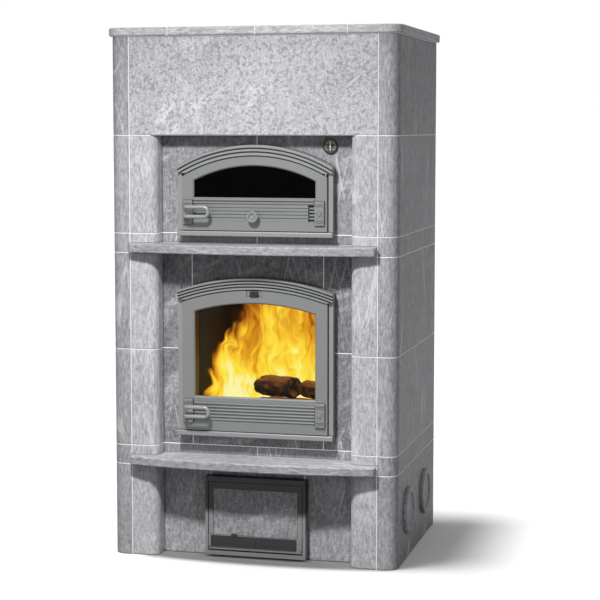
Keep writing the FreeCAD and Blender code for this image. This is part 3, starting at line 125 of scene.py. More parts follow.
class MetalSettings(bpy.types.PropertyGroup):
    """Colours of the castings, the handles and the steel parts."""

    casting_colour: colour("Casting colour", "Grey paint of the cast doors", (0.254, 0.262, 0.259))
    # The frames' grey is lighter than the leaves', partly as paint and partly as painted light on their lit
    # mouldings.
    frame_colour_with_painted_light: colour("Frame colour", "Grey paint of the door frames", (0.31, 0.318, 0.315))
    handle_colour: colour("Handle colour", "Worn metal of the handles and knob", (0.34, 0.347, 0.345))
    steel_colour: colour("Steel colour", "Bare steel of pins, latches and screws", (0.56, 0.56, 0.55))
    # Painted shade: the metal darkens in its corners, near other faces.
    crevice: length("Crevice", "Width of the dark in the corners of the metal", 0.005)
    # Black also stands for soot and painted shade behind the door leaves, and for painted shade on the ash
    # door.
    black_colour: colour("Black colour", "Black paint of small plates, and soot", (0.016, 0.016, 0.017))
    iron_colour: colour("Iron colour", "Bare cast iron of grate and collar", (0.05, 0.048, 0.046))
    grain: length("Casting grain", "Size of the casting's grain", 0.0016)


class GlassSettings(bpy.types.PropertyGroup):
    """Tint and haze of the panes."""

    tint: colour("Tint", "Colour of the firebox pane", (0.96, 0.95, 0.93))
    # The oven pane is near black partly as smoked glass, partly as painted shade for the dark oven behind
    # it.
    smoke_and_shade_tint: colour("Smoke", "Colour of the smoked oven pane", (0.02, 0.02, 0.021))
    haze: length("Haze", "Size of the soot haze on a pane", 0.09)


class SealSettings(bpy.types.PropertyGroup):
    """Twisted rope seals behind the door leaves."""

    rope_colour: colour("Rope colour", "Grey glass fibre of the rope", (0.2, 0.195, 0.19))
    rope_radius: length("Rope radius", "Half the thickness of the rope", 0.0037)
    strand_radius: length("Strand radius", "Half the thickness of one strand", 0.0021)
    pitch: length("Pitch", "Length of one full twist", 0.016)
    bend: length("Bend", "Radius of the rope at the corners", 0.012)


class ScrewSettings(bpy.types.PropertyGroup):
    """Screws that hold the glass retainers."""

    head_radius: length("Head radius", "Radius of a screw head", 0.0031)
    head_height: length("Head height", "Height of a screw head", 0.0019)
    number: count("Number", "Screws round one pane", 14)


class DialSettings(bpy.types.PropertyGroup):
    """Face of the thermometer."""

    face_colour: colour("Face colour", "Black of the dial", (0.012, 0.012, 0.012))
    mark_colour: colour("Mark colour", "Ticks and needle", (0.95, 0.9, 0.82))
    number_colour: colour("Number colour", "Numbers round the dial", (0.95, 0.5, 0.2))
    # Painted light: the ticks, numbers and needle glow a little, so that they show in shade.
    painted_mark_glow: amount("Mark glow", "Glow of the ticks, numbers and needle", 0.4)
    tick_circle: length("Tick circle", "Radius of the ring of ticks", 0.0182)
    tick_size: length("Tick size", "Length of a short tick", 0.003)
    ticks: count("Ticks", "Number of ticks on the scale", 31)
    sweep: angle("Sweep", "Angle that the scale covers", 270.0)
    number_height: length("Number height", "Height of the numbers", 0.0036)
    number_gap: length("Number gap", "From the ring of ticks in to the numbers", 0.0052)
    number_step: count("Number step", "Degrees from one number to the next", 50)
    number_steps: count("Number steps", "Steps from the first number to the last", 6)
    lens_radius: length("Lens radius", "Radius of the lens", 0.0212)
    lens_rise: length("Lens rise", "Height of the lens's dome", 0.0022)
    lens_wall: length("Lens wall", "Thickness of the lens at its middle", 0.0009)
    lens_depth: length("Lens depth", "How far the lens's edge lies behind the rim", 0.0028)


class FireSettings(bpy.types.PropertyGroup):
    """Logs, embers and flames in the firebox."""

    bark_colour: colour("Bark colour", "Charred bark", (0.05, 0.026, 0.014))
    ember_colour: colour("Ember colour", "Glow in the cracks", (1.0, 0.32, 0.05))
    ash_colour: colour("Ash colour", "Ash between the embers", (0.3, 0.27, 0.25))
    log_radius: length("Log radius", "Radius of the upper log", 0.036)
    coal_size: length("Coal size", "Radius of one coal", 0.011)
    seed: count("Seed", "Seed for the coals", 7)


class StageSettings(bpy.types.PropertyGroup):
    """Floor, lights and camera."""

    floor_colour: colour("Floor colour", "White floor", (0.95, 0.95, 0.95))
    floor_bounce: share("Floor bounce", "Part of the floor's light that reaches the object", 0.16)
    key_place: position("Key place", "Where the key light hangs", (-0.08, -1.49, 2.15))
    key_aim: position("Key aim", "What the key light is turned to", (0.0, -0.3, 0.1))
    key_radius: length("Key radius", "Half the width of the key light", 0.09)
    key_cone: angle("Key cone", "Full width of the key light's cone", 140.0)
    key_strength: amount("Key strength", "Strength of the key light", 44.0)
    rear_strength: amount("Rear strength", "Strength of the light from behind", 1.8)
    overhead_strength: amount("Overhead strength", "Light that throws the shadow on the floor", 2.5)
    front_strength: amount("Front strength", "Soft light from the front", 0.2)
    fill_strength: amount("Fill strength", "Soft light on the floor", 0.37)
    sky_strength: amount("Sky strength", "Strength of the soft light", 0.25)
    gloss_strength: amount("Gloss strength", "Sky that gloss reflects", 0.3)
    camera_place: position("Camera place", "Where the camera stands", (1.5604, -5.8114, 1.4799))
    camera_pitch: angle("Camera pitch", "Tilt of the camera from straight down", 84.845)
    camera_turn: angle("Camera turn", "Turn of the camera from the front", 14.329)
    camera_lens: amount("Camera lens", "Focal length in millimetres", 101.618, unit="CAMERA")
    camera_shift: amount("Camera shift", "Shift of the view, as a part of its width", -0.035)


# Small tools for node trees and meshes

class Graph:
    """Adds and joins the nodes of one tree."""

    def __init__(self, tree):
        self.tree = tree

    def feed(self, socket, value):
        """Links an output to a socket or sets its value. A colour gets its alpha here."""
        if isinstance(value, bpy.types.NodeSocket):
            self.tree.links.new(value, socket)
        elif socket.type == "RGBA":
            socket.default_value = (*value[:3], 1.0)
        else:
            socket.default_value = value

    def fill(self, node, inputs):
        for key, value in inputs.items():
            self.feed(node.inputs[key], value)

    def node(self, kind, inputs=None, **settings):
        made = self.tree.nodes.new(kind)
        for name, value in settings.items():
            setattr(made, name, value)
        self.fill(made, inputs or {})
        return made

    def out(self, kind, inputs=None, **settings):
        """First output of a new node."""
        return self.node(kind, inputs, **settings).outputs[0]

    def group(self, name, build, inputs):
        """Outputs of a shared node group with its own values, built the first time it is asked for."""
        tree = bpy.data.node_groups.get(name) or build(name)
        return self.node("ShaderNodeGroup", inputs, node_tree=tree).outputs

    def math(self, operation, *values):
        return self.out("ShaderNodeMath", dict(enumerate(values)), operation=operation)

    def minus(self, first, second):
        return self.math("SUBTRACT", first, second)

    def line(self, value, slope, start):
        return self.math("MULTIPLY_ADD", value, slope, start)

    def apart(self, first, second):
        return self.math("ABSOLUTE", self.minus(first, second))

    def over(self, value, limit):
        """What a value has beyond a limit, or nothing."""
        return self.math("MAXIMUM", self.minus(value, limit), 0.0)

    def total(self, *values):
        result = values[0]
        for value in values[1:]:
            result = self.math("ADD", result, value)
        return result

    def product(self, *values):
        result = values[0]
        for value in values[1:]:
            result = self.math("MULTIPLY", result, value)
        return result

    def spread(self, value, size):
        """Value about one half, as a change of that size about zero."""
        return self.product(self.minus(value, 0.5), size)

    def ramp(self, value, start, stop):
        inputs = {"Value": value, "From Min": start, "From Max": stop}
        return self.out("ShaderNodeMapRange", inputs, interpolation_type="SMOOTHSTEP")

    def vector(self, operation, *values):
        return self.out("ShaderNodeVectorMath", dict(enumerate(values)), operation=operation)

    def scaled(self, vector, factor):
        return self.out("ShaderNodeVectorMath", {0: vector, "Scale": factor}, operation="SCALE")

    def stretched(self, vector, *factors):
        return self.vector("MULTIPLY", vector, factors)

    def split(self, vector):
        return self.node("ShaderNodeSeparateXYZ", {0: vector}).outputs

    def joined(self, x, y, z):
        return self.out("ShaderNodeCombineXYZ", {0: x, 1: y, 2: z})

    def mix(self, factor, first, second):
        return self.node("ShaderNodeMix", {0: factor, 6: first, 7: second}, data_type="RGBA").outputs[2]

    def noise(self, vector, scale, detail=2.0, roughness=0.5, distortion=0.0):
        return self.out("ShaderNodeTexNoise", {
            "Vector": vector, "Scale": scale, "Detail": detail, "Roughness": roughness,
            "Distortion": distortion,
        })

    def shaken(self, vector, scale, reach):
        """A change of place by a noise, up to half the reach each way."""
        shake = self.node("ShaderNodeTexNoise", {"Vector": vector, "Scale": scale}).outputs[1]
        return self.scaled(self.vector("SUBTRACT", shake, (0.5, 0.5, 0.5)), reach)

    def wander(self, vector, scale, reach):
        """A place moved about by a noise."""
        return self.vector("ADD", vector, self.shaken(vector, scale, reach))

    def needles(self, vector, tilt):
        """Thin, long, nearly straight lines that lean from the upright."""
        x, y, z = self.split(vector)
        across = self.total(x, y, self.product(z, tilt))
        drawn = self.joined(self.product(across, 20.0), tilt, self.product(z, 0.7))
        return self.ramp(self.apart(self.noise(drawn, 1.0, 0.0), 0.5), 0.03, 0.003)

    def with_painted_corner_shade(self, shade, width, shut, clear, dark):
        """Painted shade: a colour that darkens where other faces are near, as if shade fell there."""
        free = self.node("ShaderNodeAmbientOcclusion", {"Distance": width}, samples=6).outputs["AO"]
        return self.group("Crevice", build_painted_corner_shade, {
            "Color": shade, "Free": free, "Shut": shut, "Clear": clear, "Dark": dark,
        })["Color"]

    def colours(self, value, stops):
        """Colour ramp through (place, colour) stops."""
        made = self.node("ShaderNodeValToRGB", {0: value})
        elements = made.color_ramp.elements
        while len(elements) < len(stops):
            elements.new(1.0)
        for element, (at, shade) in zip(elements, stops):
            element.position = at
            element.color = (*shade, 1.0)
        return made.outputs[0]


def sockets(**kinds):
    """Sockets as (name, type), from the names listed under each type."""
    return [(label, kind) for kind, labels in kinds.items() for label in labels]


def new_tree(name, kind, inputs, outputs):
    """Empty node group with named sockets: its graph, its inputs by name and its outputs by name."""
    tree = bpy.data.node_groups.new(name, kind)
    for way, listed in (("INPUT", inputs), ("OUTPUT", outputs)):
        for label, socket in listed:
            tree.interface.new_socket(label, in_out=way, socket_type="NodeSocket" + socket)
    graph = Graph(tree)
    return graph, graph.node("NodeGroupInput").outputs, graph.node("NodeGroupOutput").inputs


def growing_tree(name, **kinds):
    """Empty geometry tree with a geometry and a material besides its other inputs."""
    inputs = sockets(Geometry=("Geometry",), **kinds, Material=("Material",))
    return new_tree(name, "GeometryNodeTree", inputs, sockets(Geometry=("Geometry",)))


def finish_tree(graph, geometry, given, put):
    """Real, smooth geometry with its material, as every geometry tree ends."""
    real = graph.out("GeometryNodeRealizeInstances", {"Geometry": geometry})
    smooth = graph.out("GeometryNodeSetShadeSmooth", {"Geometry": real})
    coated = graph.out("GeometryNodeSetMaterial", {"Geometry": smooth, "Material": given["Material"]})
    graph.feed(put["Geometry"], coated)
    return graph.tree


def new_material(name):
    """Material with its graph, its shader and its object coordinates. What glows isn't used as a lamp."""
    material = bpy.data.materials.new(name)
    material.use_nodes = True
    material.cycles.emission_sampling = "NONE"
    graph = Graph(material.node_tree)
    shader = material.node_tree.nodes["Principled BSDF"]
    return material, graph, shader, graph.node("ShaderNodeTexCoord").outputs["Object"]


def bumped(graph, shader, height, strength, distance):
    bump = graph.out("ShaderNodeBump", {"Height": height, "Strength": strength, "Distance": distance})
    graph.feed(shader.inputs["Normal"], bump)


def coat(material, *nodes):
    """Gives CAD nodes a material."""
    for name in nodes:
        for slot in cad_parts[name].material_slots:
            slot.material = material


def linked(name, data):
    """New object in the scene."""
    made = bpy.data.objects.new(name, data)
    bpy.context.scene.collection.objects.link(made)
    return made


def new_piece(name, mesh, material, body):
    """Object of a finished mesh that rides on a body."""
    piece = linked(name, mesh)
    if not mesh.materials:
        mesh.materials.append(material)
    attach(piece, body)
    return piece


def mesh_from(name, shape, smooth=True):
    """Plain mesh of a bmesh, its faces turned outwards."""
    bmesh.ops.recalc_face_normals(shape, faces=shape.faces)
    for face in shape.faces:
        face.smooth = smooth
    mesh = bpy.data.meshes.new(name)
    shape.to_mesh(mesh)
    shape.free()
    return mesh


def bridge(shape, low, high):
    """Faces between two closed rings."""
    for i in range(len(low)):
        j = (i + 1) % len(low)
        shape.faces.new((low[i], low[j], high[j], high[i]))


def cap(shape, ring, tip):
    """Faces from a closed ring to a point."""
    for i in range(len(ring)):
        shape.faces.new((ring[i], ring[(i + 1) % len(ring)], tip))


def lathe(profile, sides):
    """Closed turned shape about Z: profile points are (radius, height), with a pole at each end."""
    shape = bmesh.new()
    foot = shape.verts.new((0.0, 0.0, profile[0][1]))
    head = shape.verts.new((0.0, 0.0, profile[-1][1]))
    turns = [FULL_TURN * i / sides for i in range(sides)]
    rings = []
    for radius, height in profile[1:-1]:
        rings.append([shape.verts.new((radius * math.cos(a), radius * math.sin(a), height)) for a in turns])
    cap(shape, rings[0], foot)
    cap(shape, rings[-1], head)
    for low, high in zip(rings, rings[1:]):
        bridge(shape, low, high)
    return shape


def path_mesh(name, points):
    """Closed line through points."""
    mesh = bpy.data.meshes.new(name)
    edges = [(i, (i + 1) % len(points)) for i in range(len(points))]
    mesh.from_pydata(points, edges, [])
    return mesh


def grown(name, seed_mesh, tree, values):
    """Plain mesh that a geometry tree makes from a mesh, with the tree's inputs set by name."""
    carrier = linked(name + "_seed", seed_mesh)
    modifier = carrier.modifiers.new("Grow", "NODES")
    modifier.node_group = tree
    for socket in tree.interface.items_tree:
        if socket.in_out == "INPUT" and socket.name in values:
            modifier[socket.identifier] = values[socket.name]
    depsgraph = bpy.context.evaluated_depsgraph_get()
    mesh = bpy.data.meshes.new_from_object(
        carrier.evaluated_get(depsgraph), preserve_all_data_layers=True, depsgraph=depsgraph
    )
    mesh.name = name
    bpy.data.objects.remove(carrier)
    if not mesh.polygons:
        raise RuntimeError(name + " came out empty")
    return mesh


def arch_points(node, y):
    """Points round an arched CAD piece, set in from its outline."""
    steps, touching = 40, 1e-5
    points = [v.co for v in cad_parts[node].data.vertices]
    half = max(p.x for p in points)
    bottom = min(p.z for p in points) + INSET
    crown = max(p.z for p in points)
    rise = crown - max(p.z for p in points if p.x > half - touching)
    radius = (half ** 2 + rise ** 2) / (2 * rise)
    centre = crown - radius
    radius -= INSET
    half -= INSET
    swing = math.asin(half / radius)
    line = [Vector((-half, y, bottom)), Vector((half, y, bottom))]
    for i in range(steps + 1):
        turn = swing * (1 - 2 * i / steps)
        line.append(Vector((radius * math.sin(turn), y, centre + radius * math.cos(turn))))
    return line


# Shader groups

def build_stone_number(name):
    """Pattern offset and shade of each stone, told apart by course and upright joints."""
    more_than_courses, pattern_reach = 11.0, 7.0
    inputs = sockets(Vector=("Vector",), Float=("Seed", *JOINTS))
    outputs = sockets(Vector=("Offset",), Float=("Shade",))
    graph, given, put = new_tree(name, "ShaderNodeTree", inputs, outputs)
    x, _, z = graph.split(given["Vector"])
    number = given["Seed"]
    for level in COURSE_LEVELS:
        number = graph.total(number, graph.math("GREATER_THAN", z, level))
    for joint in JOINTS:
        number = graph.line(graph.math("GREATER_THAN", x, given[joint]), more_than_courses, number)
    chance = graph.node("ShaderNodeTexWhiteNoise", {"W": number}, noise_dimensions="1D").outputs
    graph.feed(put["Offset"], graph.scaled(chance["Color"], pattern_reach))
    graph.feed(put["Shade"], chance["Value"])
    return graph.tree


def build_soapstone(name):
    """Grain, upright flecks, drifts, pale veins and dark spots of soapstone."""
    inputs = sockets(
        Vector=("Vector", "Offset"), Color=("Base", "Vein"),
        Float=("Shade", "Grain", "Contrast", "Flecks", "Veins", "Drifts", "Spot", "Spots"),
    )
    outputs = sockets(Color=("Color",), Float=("Roughness", "Height"))
    graph, given, put = new_tree(name, "ShaderNodeTree", inputs, outputs)
    place = graph.vector("ADD", given["Vector"], given["Offset"])
    grain = graph.noise(place, graph.math("DIVIDE", 1.0, given["Grain"]), 2.0, 0.7)
    fleck = graph.noise(graph.stretched(place, 1.0, 1.0, 0.3), 140.0, 2.0, 0.65, 0.3)
    cloud = graph.noise(place, 4.5, 4.0, 0.6, 0.5)
    tilted = graph.out("ShaderNodeMapping", {"Vector": place, "Rotation": (0.3, 0.55, 0.0)})
    drift = graph.noise(graph.stretched(tilted, 4.0, 5.0, 13.0), 1.0, 5.0, 0.62, 0.7)
    drift = graph.product(graph.ramp(drift, 0.53, 0.68), given["Drifts"])
    net = graph.noise(graph.wander(place, 55.0, 0.02), 62.0, 2.0, 0.6, 0.6)
    thread = graph.ramp(graph.apart(net, 0.5), 0.05, 0.0)
    bent = graph.wander(place, 8.0, 0.02)
    lines = graph.math("MAXIMUM", graph.needles(bent, 0.19), graph.needles(bent, -0.25))
    where = graph.ramp(graph.noise(graph.stretched(place, 9.0, 9.0, 5.0), 1.0, 1.0), 0.52, 0.66)
    vein = graph.product(lines, where, given["Veins"])
    blot = graph.noise(graph.wander(place, 60.0, 0.02), graph.math("DIVIDE", 1.0, given["Spot"]), 2.0, 0.6)
    dense = graph.line(graph.noise(place, 9.0), -0.16, 0.6)
    spot = graph.product(graph.ramp(blot, dense, graph.total(dense, 0.1)), given["Spots"])
    tone = graph.total(
        1.0,
        graph.spread(grain, given["Contrast"]),
        graph.spread(fleck, given["Flecks"]),
        graph.spread(cloud, 0.4),
        graph.spread(given["Shade"], 0.14),
    )
    body = graph.scaled(given["Base"], tone)
    pale = graph.total(graph.product(drift, 0.65), graph.product(thread, given["Drifts"], 0.4))
    veined = graph.mix(vein, graph.mix(pale, body, given["Vein"]), given["Vein"])
    graph.feed(put["Color"], graph.mix(spot, veined, graph.scaled(given["Base"], 0.55)))
    graph.feed(put["Roughness"], graph.line(grain, 0.2, 0.46))
    graph.feed(put["Height"], graph.line(spot, -0.3, graph.total(grain, fleck)))
    return graph.tree


def build_metal_skin(name):
    """Fine cast grain with slow changes of tone and gloss."""
    inputs = sockets(Vector=("Vector",), Color=("Base",), Float=("Grain", "Contrast", "Gloss"))
    outputs = sockets(Color=("Color",), Float=("Roughness", "Height"))
    graph, given, put = new_tree(name, "ShaderNodeTree", inputs, outputs)
    grain = graph.noise(given["Vector"], graph.math("DIVIDE", 1.0, given["Grain"]), 2.0, 0.6)
    cloud = graph.noise(given["Vector"], 9.0, 3.0, 0.55)
    tone = graph.total(1.0, graph.spread(grain, given["Contrast"]), graph.spread(cloud, given["Contrast"]))
    rough = graph.total(given["Gloss"], graph.spread(cloud, 0.14), graph.spread(grain, 0.08))
    graph.feed(put["Color"], graph.scaled(given["Base"], tone))
    graph.feed(put["Roughness"], rough)
    graph.feed(put["Height"], grain)
    return graph.tree


def build_painted_corner_shade(name):
    """Painted shade: part of a colour where a face is shut in, and all of it where the face is free."""
    inputs = sockets(Color=("Color",), Float=("Free", "Shut", "Clear", "Dark"))
    graph, given, put = new_tree(name, "ShaderNodeTree", inputs, sockets(Color=("Color",)))
    free = graph.ramp(given["Free"], given["Shut"], given["Clear"])
    dark = graph.scaled(given["Color"], given["Dark"])
    graph.feed(put["Color"], graph.mix(free, dark, given["Color"]))
    return graph.tree


def build_flame_heat(name):
    """Heat of a flame from its foot to its tip, drawn out upwards and dying away to the left."""
    full_heat, left_edge, half_width = 0.84, -0.045, 0.165
    inputs = sockets(Vector=("Vector", "Shift"), Float=("Foot", "Reach", "Lean"))
    outputs = sockets(Float=("Heat",), Color=("Color",))
    graph, given, put = new_tree(name, "ShaderNodeTree", inputs, outputs)
    x, _, z = graph.split(given["Vector"])
    rise = graph.math("DIVIDE", graph.minus(z, given["Foot"]), given["Reach"])
    moved = graph.vector("ADD", given["Vector"], given["Shift"])
    sway, lick = graph.noise(moved, 6.0), graph.noise(moved, 21.0)
    aside = graph.total(graph.spread(sway, 0.2), graph.spread(lick, 0.045))
    swayed = graph.vector("ADD", moved, graph.joined(aside, 0.0, 0.0))
    tongue = graph.noise(graph.stretched(swayed, 14.0, 14.0, 3.4), 1.0, 3.0, 0.55)
    thread = graph.noise(graph.stretched(swayed, 36.0, 36.0, 6.0), 1.0)
    ridge = graph.minus(1.0, graph.math("ABSOLUTE", graph.spread(thread, 6.0)))
    loss = graph.product(graph.over(left_edge, x), given["Lean"], graph.over(rise, 0.3))
    edge = graph.over(graph.math("ABSOLUTE", x), half_width)
    heat = graph.total(
        full_heat,
        graph.product(rise, -0.58),
        graph.product(loss, -1.0),
        graph.product(edge, -11.0),
        graph.spread(tongue, 1.6),
        graph.product(ridge, 0.12),
    )
    graph.feed(put["Heat"], heat)
    stops = [
        (0.0, (0.006, 0.002, 0.0)),
        (0.2, (0.09, 0.02, 0.001)),
        (0.38, (0.42, 0.12, 0.006)),
        (0.54, (0.82, 0.36, 0.012)),
        (0.7, (1.0, 0.65, 0.035)),
        (0.86, (1.0, 0.82, 0.075)),
        (1.0, (1.0, 0.95, 0.42)),
    ]
    graph.feed(put["Color"], graph.colours(heat, stops))
    return graph.tree


# Materials

def stone_material(
    name, base, seed, joints=(), lying=False, contrast=0.7, flecks=1.6, veins=0.6, drifts=0.2, spots=0.0
):
    """Soapstone parted at its joints, with the grain upright or, in a lying slab, along X."""
    look = bpy.context.scene.oven_stone
    material, graph, shader, place = new_material(name)
    grown_along = place
    if lying:
        x, y, z = graph.split(place)
        grown_along = graph.joined(z, y, x)
    lines = [*joints, *[NO_JOINT] * len(JOINTS)]
    number = graph.group("Stone Number", build_stone_number, {
        "Vector": place, "Seed": seed, **dict(zip(JOINTS, lines)),
    })
    stone = graph.group("Soapstone", build_soapstone, {
        "Vector": grown_along, "Offset": number["Offset"], "Shade": number["Shade"], "Base": base,
        "Vein": look.vein_colour, "Grain": look.grain, "Contrast": contrast, "Flecks": flecks,
        "Veins": veins, "Drifts": drifts, "Spot": look.spot, "Spots": spots,
    })
    graph.fill(shader, {
        # Painted shade darkens the stone's colour in its corners.
        "Base Color": graph.with_painted_corner_shade(stone["Color"], look.crevice, 0.4, 0.8, 0.45),
        "Roughness": stone["Roughness"], "Specular IOR Level": 0.2,
    })
    bumped(graph, shader, stone["Height"], 0.25, 0.001)
    return material


def metal_material(name, base, metallic, gloss, contrast=0.1, depth=0.12, coarse=1.0, soot_and_shade=None):
    """Metal with a cast grain, which is coarser and deeper if asked for, painted shade in its corners, and
    black where a given mask asks: soot and painted shade behind the door leaves, painted shade on the ash
    door.
    """
    look = bpy.context.scene.oven_metal
    material, graph, shader, place = new_material(name)
    skin = graph.group("Metal Skin", build_metal_skin, {
        "Vector": place, "Base": base, "Grain": look.grain * coarse, "Contrast": contrast, "Gloss": gloss,
    })
    # Painted shade darkens the metal's colour in its corners.
    tinted = graph.with_painted_corner_shade(skin["Color"], look.crevice, 0.5, 0.9, 0.12)
    if soot_and_shade:
        # Black from the mask: soot and painted shade behind the leaves, painted shade on the ash door.
        tinted = graph.mix(soot_and_shade(graph, place), tinted, look.black_colour)
    graph.fill(shader, {"Base Color": tinted, "Roughness": skin["Roughness"], "Metallic": metallic})
    bumped(graph, shader, skin["Height"], depth, 0.0004 * coarse)
    return material


def soot_and_shade_behind_leaf(graph, place):
    """Soot and painted shade: black inside the door frames, behind the leaves."""
    edge, behind, fade = 0.012, 0.004, 0.004
    x, y, _ = graph.split(place)
    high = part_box("firebox_door_leaf")[1]
    inside = graph.ramp(graph.math("ABSOLUTE", x), high.x - edge, high.x - edge - fade)
    return graph.product(inside, graph.ramp(y, high.y + behind, high.y + behind + fade))


def painted_shade_towards_top(graph, place):
    """Painted shade: black over the upper half of the ash door, where shade falls under the shelf."""
    fade = 0.03
    low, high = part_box("ash_door_frame")
    middle = (low.z + high.z) / 2
    return graph.ramp(graph.split(place)[2], middle, middle + fade)


class OVEN_OT_stone_finish(bpy.types.Operator):
    """Gives the slabs, the panel, the core and the mortar their stone"""

    bl_idname = "oven.stone_finish"
    bl_label = "Stone finish"

    def execute(self, context):
        look = context.scene.oven_stone
        # niche holds the niche tone, which is darker partly as painted shade.
        slab, niche = look.slab_colour, look.niche_colour_with_painted_shade
        halves = {"joints": MIDDLE_JOINT}
        mottled = {"veins": 0.5, "drifts": 0.5, "spots": 0.5}
        panel = {"contrast": 1.3, "flecks": 0.8, "veins": 0.3, "drifts": 1.0, "spots": 0.7}
        hearth = {"joints": HEARTH_JOINTS, **mottled}
        covers = [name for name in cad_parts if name.startswith("soot_cover")]
        stones = (
            ("Side slab stone", slab, halves, ("left_side_stones", "right_side_stones")),
            ("Pilaster stone", look.pilaster_colour, halves, ("pilaster_stones",)),
            ("Back slab stone", slab, {}, ("back_stones",)),
            ("Shelf stone", look.shelf_colour, {"lying": True, "veins": 0.4}, ("shelves",)),
            # Top slabs: their light tone is partly painted light.
            ("Top slab stone", look.top_colour_with_painted_light, {"joints": TOP_JOINTS, "lying": True}, ("top_slabs",)),
            ("Band stone", niche, {**halves, "spots": 0.3}, ("band_strips",)),
            ("Soot cover stone", slab, {**halves, "veins": 0.3}, covers),
            ("Oven niche stone", niche, {**halves, **mottled}, ("oven_niche_stones",)),
            # Hearth stones: their dark tone is partly painted shade.
            ("Hearth stone", look.hearth_colour_with_painted_shade, hearth, ("firebox_niche_stones",)),
            ("Base niche stone", slab, {"joints": BASE_JOINTS, **mottled}, ("base_niche_stones",)),
            ("Ash flap stone", niche, mottled, ("ash_flap_stone",)),
            ("Panel stone", look.panel_colour, panel, ("front_panel",)),
        )
        for i, (name, base, options, nodes) in enumerate(stones):
            seed = 100.0 * (i + 1)
            coat(stone_material(name, base, seed, **options), *nodes)
        self.smoked_core(look)
        self.mortar(look)
        return {"FINISHED"}

    def smoked_core(self, look):
        material, graph, shader, place = new_material("Smoked core stone")
        stone = graph.group("Soapstone", build_soapstone, {
            "Vector": place, "Offset": (3.0, 1.0, 5.0), "Shade": 0.5, "Base": look.soot_colour,
            "Vein": look.niche_colour_with_painted_shade, "Grain": look.grain, "Contrast": 0.8, "Flecks": 0.5,
            "Veins": 0.1, "Drifts": 0.06, "Spot": look.spot, "Spots": 0.2,
        })
        graph.fill(shader, {"Base Color": stone["Color"], "Roughness": 0.9})
        bumped(graph, shader, stone["Height"], 0.2, 0.001)
        coat(
            material, "base_slab", "ash_chamber_walls", "firebox_floor", "firebox_walls", "firebox_ceiling",
            "oven_floor", "oven_walls", "oven_vault",
        )

    def mortar(self, look):
        """Pale mortar, as dull as the slabs in the beds on the shelves. It glows a little as painted light,
        so that its lines show pale in shade.
        """
        material, graph, shader, place = new_material("Pale mortar")
        sand = graph.noise(place, 420.0, 2.0, 0.7)
        patch = graph.noise(place, 14.0)
        tone = graph.total(1.0, graph.spread(sand, 0.25), graph.spread(patch, 0.2))
        height = graph.split(place)[2]
        shelf_beds = 0.0
        for level in (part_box("shelves")[1].z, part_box("band_strips")[0].z):
            near = graph.math("LESS_THAN", graph.apart(height, level), look.bed)
            shelf_beds = graph.math("MAXIMUM", shelf_beds, near)
        pale = graph.mix(shelf_beds, look.mortar_colour, look.slab_colour)
        graph.fill(shader, {
            "Base Color": graph.scaled(pale, tone), "Roughness": 0.85,
            # Painted light: the mortar glows a little, so that its lines show pale in shade.
            "Emission Color": look.mortar_colour, "Emission Strength": 0.1,
        })
        bumped(graph, shader, sand, 0.5, 0.0006)
        coat(material, "mortar_joints")


class OVEN_OT_metal_finish(bpy.types.Operator):
    """Gives the cast doors, the handles and the steel parts their finish"""

    bl_idname = "oven.metal_finish"
    bl_label = "Metal finish"

    def execute(self, context):
        look = context.scene.oven_metal
        casting = look.casting_colour
        # Each row: name, colour, metallic, gloss, other options, and the nodes that get it
        metals = (
            ("Painted casting", casting, 0.25, 0.46, {},
             ("oven_door_leaf", "oven_air_slide", "firebox_door_leaf")),
            # Door frames: lighter paint, partly painted light on the mouldings; soot and painted shade
            # inside, behind the leaves.
            ("Door frame casting", look.frame_colour_with_painted_light, 0.25, 0.46, {"soot_and_shade": soot_and_shade_behind_leaf},
             ("oven_door_frame", "firebox_door_frame")),
            # Ash door: painted shade, black over its upper half.
            ("Ash door casting", casting, 0.25, 0.46, {"soot_and_shade": painted_shade_towards_top},
             ("ash_door_frame", "ash_flap_frame", "ash_hinge_straps")),
            ("Rough casting", casting, 0.25, 0.5, {"contrast": 0.5, "depth": 0.8, "coarse": 4.0},
             ("oven_door_blocks", "firebox_door_blocks")),
            ("Worn handle metal", look.handle_colour, 0.35, 0.4, {"contrast": 0.14},
             ("oven_handle", "firebox_handle", "oven_air_knob")),
            ("Bare steel", look.steel_colour, 1.0, 0.3, {"contrast": 0.12, "depth": 0.06},
             ("lower_hinge_pins", "oven_hinge_pin_upper", "firebox_hinge_pin_upper", "oven_latch",
              "firebox_latch", "oven_air_screw", "ash_flap_pins")),
            ("Black painted steel", look.black_colour, 0.0, 0.42, {"contrast": 0.3},
             ("ash_air_slide", "firebox_air_tab", "oven_glass_retainer", "firebox_glass_retainer", "ash_pan",
              "ash_air_screw", "thermometer_case")),
            ("Bare cast iron", look.iron_colour, 0.4, 0.62, {"contrast": 0.5, "depth": 0.3},
             ("grate", "flue_collar")),
        )
        for name, base, metallic, gloss, options, nodes in metals:
            coat(metal_material(name, base, metallic, gloss, **options), *nodes)
        return {"FINISHED"}


def pane_material(name, tint, haze):
    """Glass with smears of haze. Its gloss is weak, so that the fire behind it shows without grain."""
    material, graph, shader, place = new_material(name)
    smear = graph.noise(place, 1.0 / haze, 3.0, 0.6)
    graph.fill(shader, {
        "Base Color": graph.scaled(tint, graph.line(smear, -0.06, 1.03)),
        "Roughness": graph.product(graph.ramp(smear, 0.55, 0.8), 0.05),
        "Transmission Weight": 1.0, "IOR": 1.1, "Specular IOR Level": 0.08,
    })
    return material


